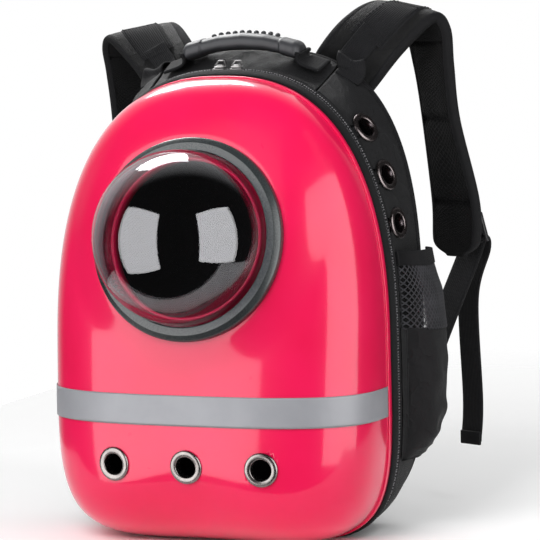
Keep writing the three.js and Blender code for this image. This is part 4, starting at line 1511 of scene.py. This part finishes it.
def air_mesh(title, colour, pitch):
    f = Finish(title, colour, 0.86, sheen_weight=0.02, specular_ior_level=0.12)
    lattice = diamonds(f, pitch)
    f.bump(lattice ** 2.0 + f.noise(1.1 * mm) * 0.2, 0.9 * mm, 0.8)
    # Painted shade in the mesh's open cells and painted light on its strands.
    tone(f, colour, 20 * mm, 0.45, lattice ** 3.0)
    return f


def netting(title, colour, pitch, gathered):
    """A net with open cells, which close where the net is gathered beyond a distance across."""
    f = Finish(title, colour, 0.8, sheen_weight=0.02, specular_ior_level=0.12)
    lattice = diamonds(f, pitch)
    across = f.cloth()[0]
    closed = f.ramp(across, gathered, gathered + 8 * mm)
    strands = f.ramp(lattice, 0.45, 0.6)
    f.set("Alpha", strands.math("MAXIMUM", closed))
    f.bump(lattice, 0.5 * mm, 0.6)
    # Painted shade in the cells where the net is gathered shut, painted light on its strands.
    tone(f, colour, 10 * mm, 0.6, strands)
    return f


def beaded_tape():
    """Reflective tape: fine glass beads on silver."""
    f = Finish("reflective_tape", srgb(140, 141, 146), 0.42)
    beads = f.noise(0.7 * mm, 3.0, 0.7)
    f.bump(beads, 0.08 * mm, 0.5)
    f.set("Roughness", beads * 0.2 + 0.34)
    wide = f.ramp(f.noise(30 * mm), 0.3, 0.7)
    f.set("Base Color", f.blend(wide, srgb(130, 131, 136), srgb(138, 139, 144)))
    return f


finishes.update(
    {
        "reflector": beaded_tape(),
        "oxford": woven("oxford_cloth", srgb(19, 19, 21), 1.4 * mm, 0.4 * mm),
        "binding": ribbed("ribbed_tape", srgb(17, 17, 19), 1.1 * mm, 0.3 * mm),
        "zip": ribbed("zip_tape", srgb(20, 20, 22), 0.9 * mm, 0.3 * mm),
        "webbing": ribbed("webbing", srgb(19, 19, 21), 1.9 * mm, 0.45 * mm),
        "mesh": netting("net", srgb(44, 44, 47), 4.4 * mm, 27 * mm),
        "pad": air_mesh("air_mesh", srgb(11, 11, 12), 2.8 * mm),
    }
)

own = {
    "zip_teeth": plain_plastic("zip_teeth", srgb(128, 127, 130), 0.35, 0.5 * mm),
    "rim_stitches": plain_plastic("thread", srgb(96, 96, 100), 0.6, 0.5 * mm),
    "strap_cover_right": woven("strap_cloth", srgb(12, 12, 13), 1.2 * mm, 0.3 * mm),
}
own["strap_cover_left"] = own["strap_cover_right"]
own["back_pad"] = air_mesh("back_mesh", srgb(24, 24, 26), 2.8 * mm)
own["slider_left"] = own["slider_right"] = plated("dull_zinc", srgb(150, 148, 148), 0.28)
for made in pieces:
    made.data.materials.clear()
    made.data.materials.append(own.get(made.name, finishes[slots[made.name]]).material)
print("finishes", len(finishes))

# %% [markdown]
# The light is a pale studio. The surround that the lens sees is white. What fills the shadows is
# a little dimmer, and what shows in gloss is dimmer still, so that the soft boxes stand out in
# the shell.

# %% Floor and light
def soft_box(name, bearing, distance, size, power, glossy, height=None):
    """A light that faces the pack from a bearing in degrees, for gloss or for the cloth."""
    direction = way(*map(math.radians, bearing))
    light = bpy.data.lights.new(name, "AREA")
    light.shape = "RECTANGLE"
    light.size, light.size_y = size
    light.energy = power
    obj = bpy.data.objects.new(name, light)
    turn = direction.to_track_quat("Z", "Y").to_matrix().to_4x4()
    place = MIDDLE + direction * distance
    if height is not None:
        place.z = height
    obj.matrix_world = Matrix.Translation(place) @ turn
    obj.visible_camera = False
    obj.visible_diffuse = not glossy
    obj.visible_glossy = glossy
    bpy.context.scene.collection.objects.link(obj)


MIDDLE = Vector((0, -100 * mm, 250 * mm))
soft_box("left", (-30, 0), 0.75, (0.73, 1.03), 10.4, True, 0.29)
soft_box("right", (72, 0), 0.75, (0.73, 0.89), 9.4, True, 0.36)
soft_box("behind", (-140, 50), 1.2, (0.62, 0.36), 16, True)
soft_box("key", (-5, 40), 2.0, (1.2, 1.2), 27, False)
soft_box("side", (75, 50), 1.8, (0.5, 0.5), 6, False)


def backdrop(tree, strength):
    node = tree.nodes.new("ShaderNodeBackground")
    node.inputs["Color"].default_value = (1, 1, 1, 1)
    if isinstance(strength, bpy.types.NodeSocket):
        tree.links.new(strength, node.inputs["Strength"])
    else:
        node.inputs["Strength"].default_value = strength
    return node.outputs[0]


def choose(tree, ray, otherwise, chosen):
    """One backdrop for a kind of ray, and another for the rest."""
    path = tree.nodes.new("ShaderNodeLightPath")
    mixer = tree.nodes.new("ShaderNodeMixShader")
    tree.links.new(path.outputs[ray], mixer.inputs[0])
    tree.links.new(otherwise, mixer.inputs[1])
    tree.links.new(chosen, mixer.inputs[2])
    return mixer.outputs[0]


def toward(tree, direction, low, high):
    """A strength that grows from low to high as a ray turns to a direction."""
    ray = tree.nodes.new("ShaderNodeTexCoord").outputs["Generated"]
    dot = tree.nodes.new("ShaderNodeVectorMath")
    dot.operation = "DOT_PRODUCT"
    dot.inputs[1].default_value = direction
    tree.links.new(ray, dot.inputs[0])
    span = tree.nodes.new("ShaderNodeMapRange")
    for socket, value in zip(span.inputs[1:5], (0.55, 1.0, low, high)):
        socket.default_value = value
    tree.links.new(dot.outputs["Value"], span.inputs[0])
    return span.outputs[0]


world = bpy.data.worlds.new("studio")
bpy.context.scene.world = world
world.use_nodes = True
sky = world.node_tree
mirrored = backdrop(sky, toward(sky, (-0.45, 0.75, 0.5), 0.03, 1.3))
fill = choose(sky, "Is Glossy Ray", backdrop(sky, 0.72), mirrored)
seen = choose(sky, "Is Camera Ray", fill, backdrop(sky, 1.0))
sky.links.new(seen, sky.nodes["World Output"].inputs[0])
bpy.context.scene.view_settings.view_transform = "Standard"

# %% [markdown]
# The floor is a sheet of white paper that fades out behind the pack, so that no horizon shows. It
# ends just in front of the pack, out of the lens's sight, because only its near edge shows in the
# dome.

# %% Floor
FLOOR_FRONT = -250 * mm
FLOOR_HALF = 1.5
FADE = (0.5, 1.2)  # metres from the middle of the fade, where it starts and ends
floor_mesh = bmesh.new()
bmesh.ops.create_grid(floor_mesh, x_segments=1, y_segments=1, size=FLOOR_HALF)
bmesh.ops.scale(floor_mesh, vec=(0.4, 1, 1), verts=floor_mesh.verts)
floor_data = bpy.data.meshes.new("floor")
floor_mesh.to_mesh(floor_data)
floor_mesh.free()
floor = bpy.data.objects.new("floor", floor_data)
floor.location = (0, FLOOR_FRONT + FLOOR_HALF, -0.5 * mm)
bpy.context.scene.collection.objects.link(floor)
paper = Finish("paper", srgb(252, 252, 252), 0.9, specular_ior_level=0.0)
ends = {0: paper.place(), 1: (0, -1.2, 0)}
from_middle = paper.node("ShaderNodeVectorMath", {"operation": "DISTANCE"}, ends, out="Value")
paper.set("Alpha", 1 - paper.ramp(from_middle, *FADE))
floor_data.materials.append(paper.material)
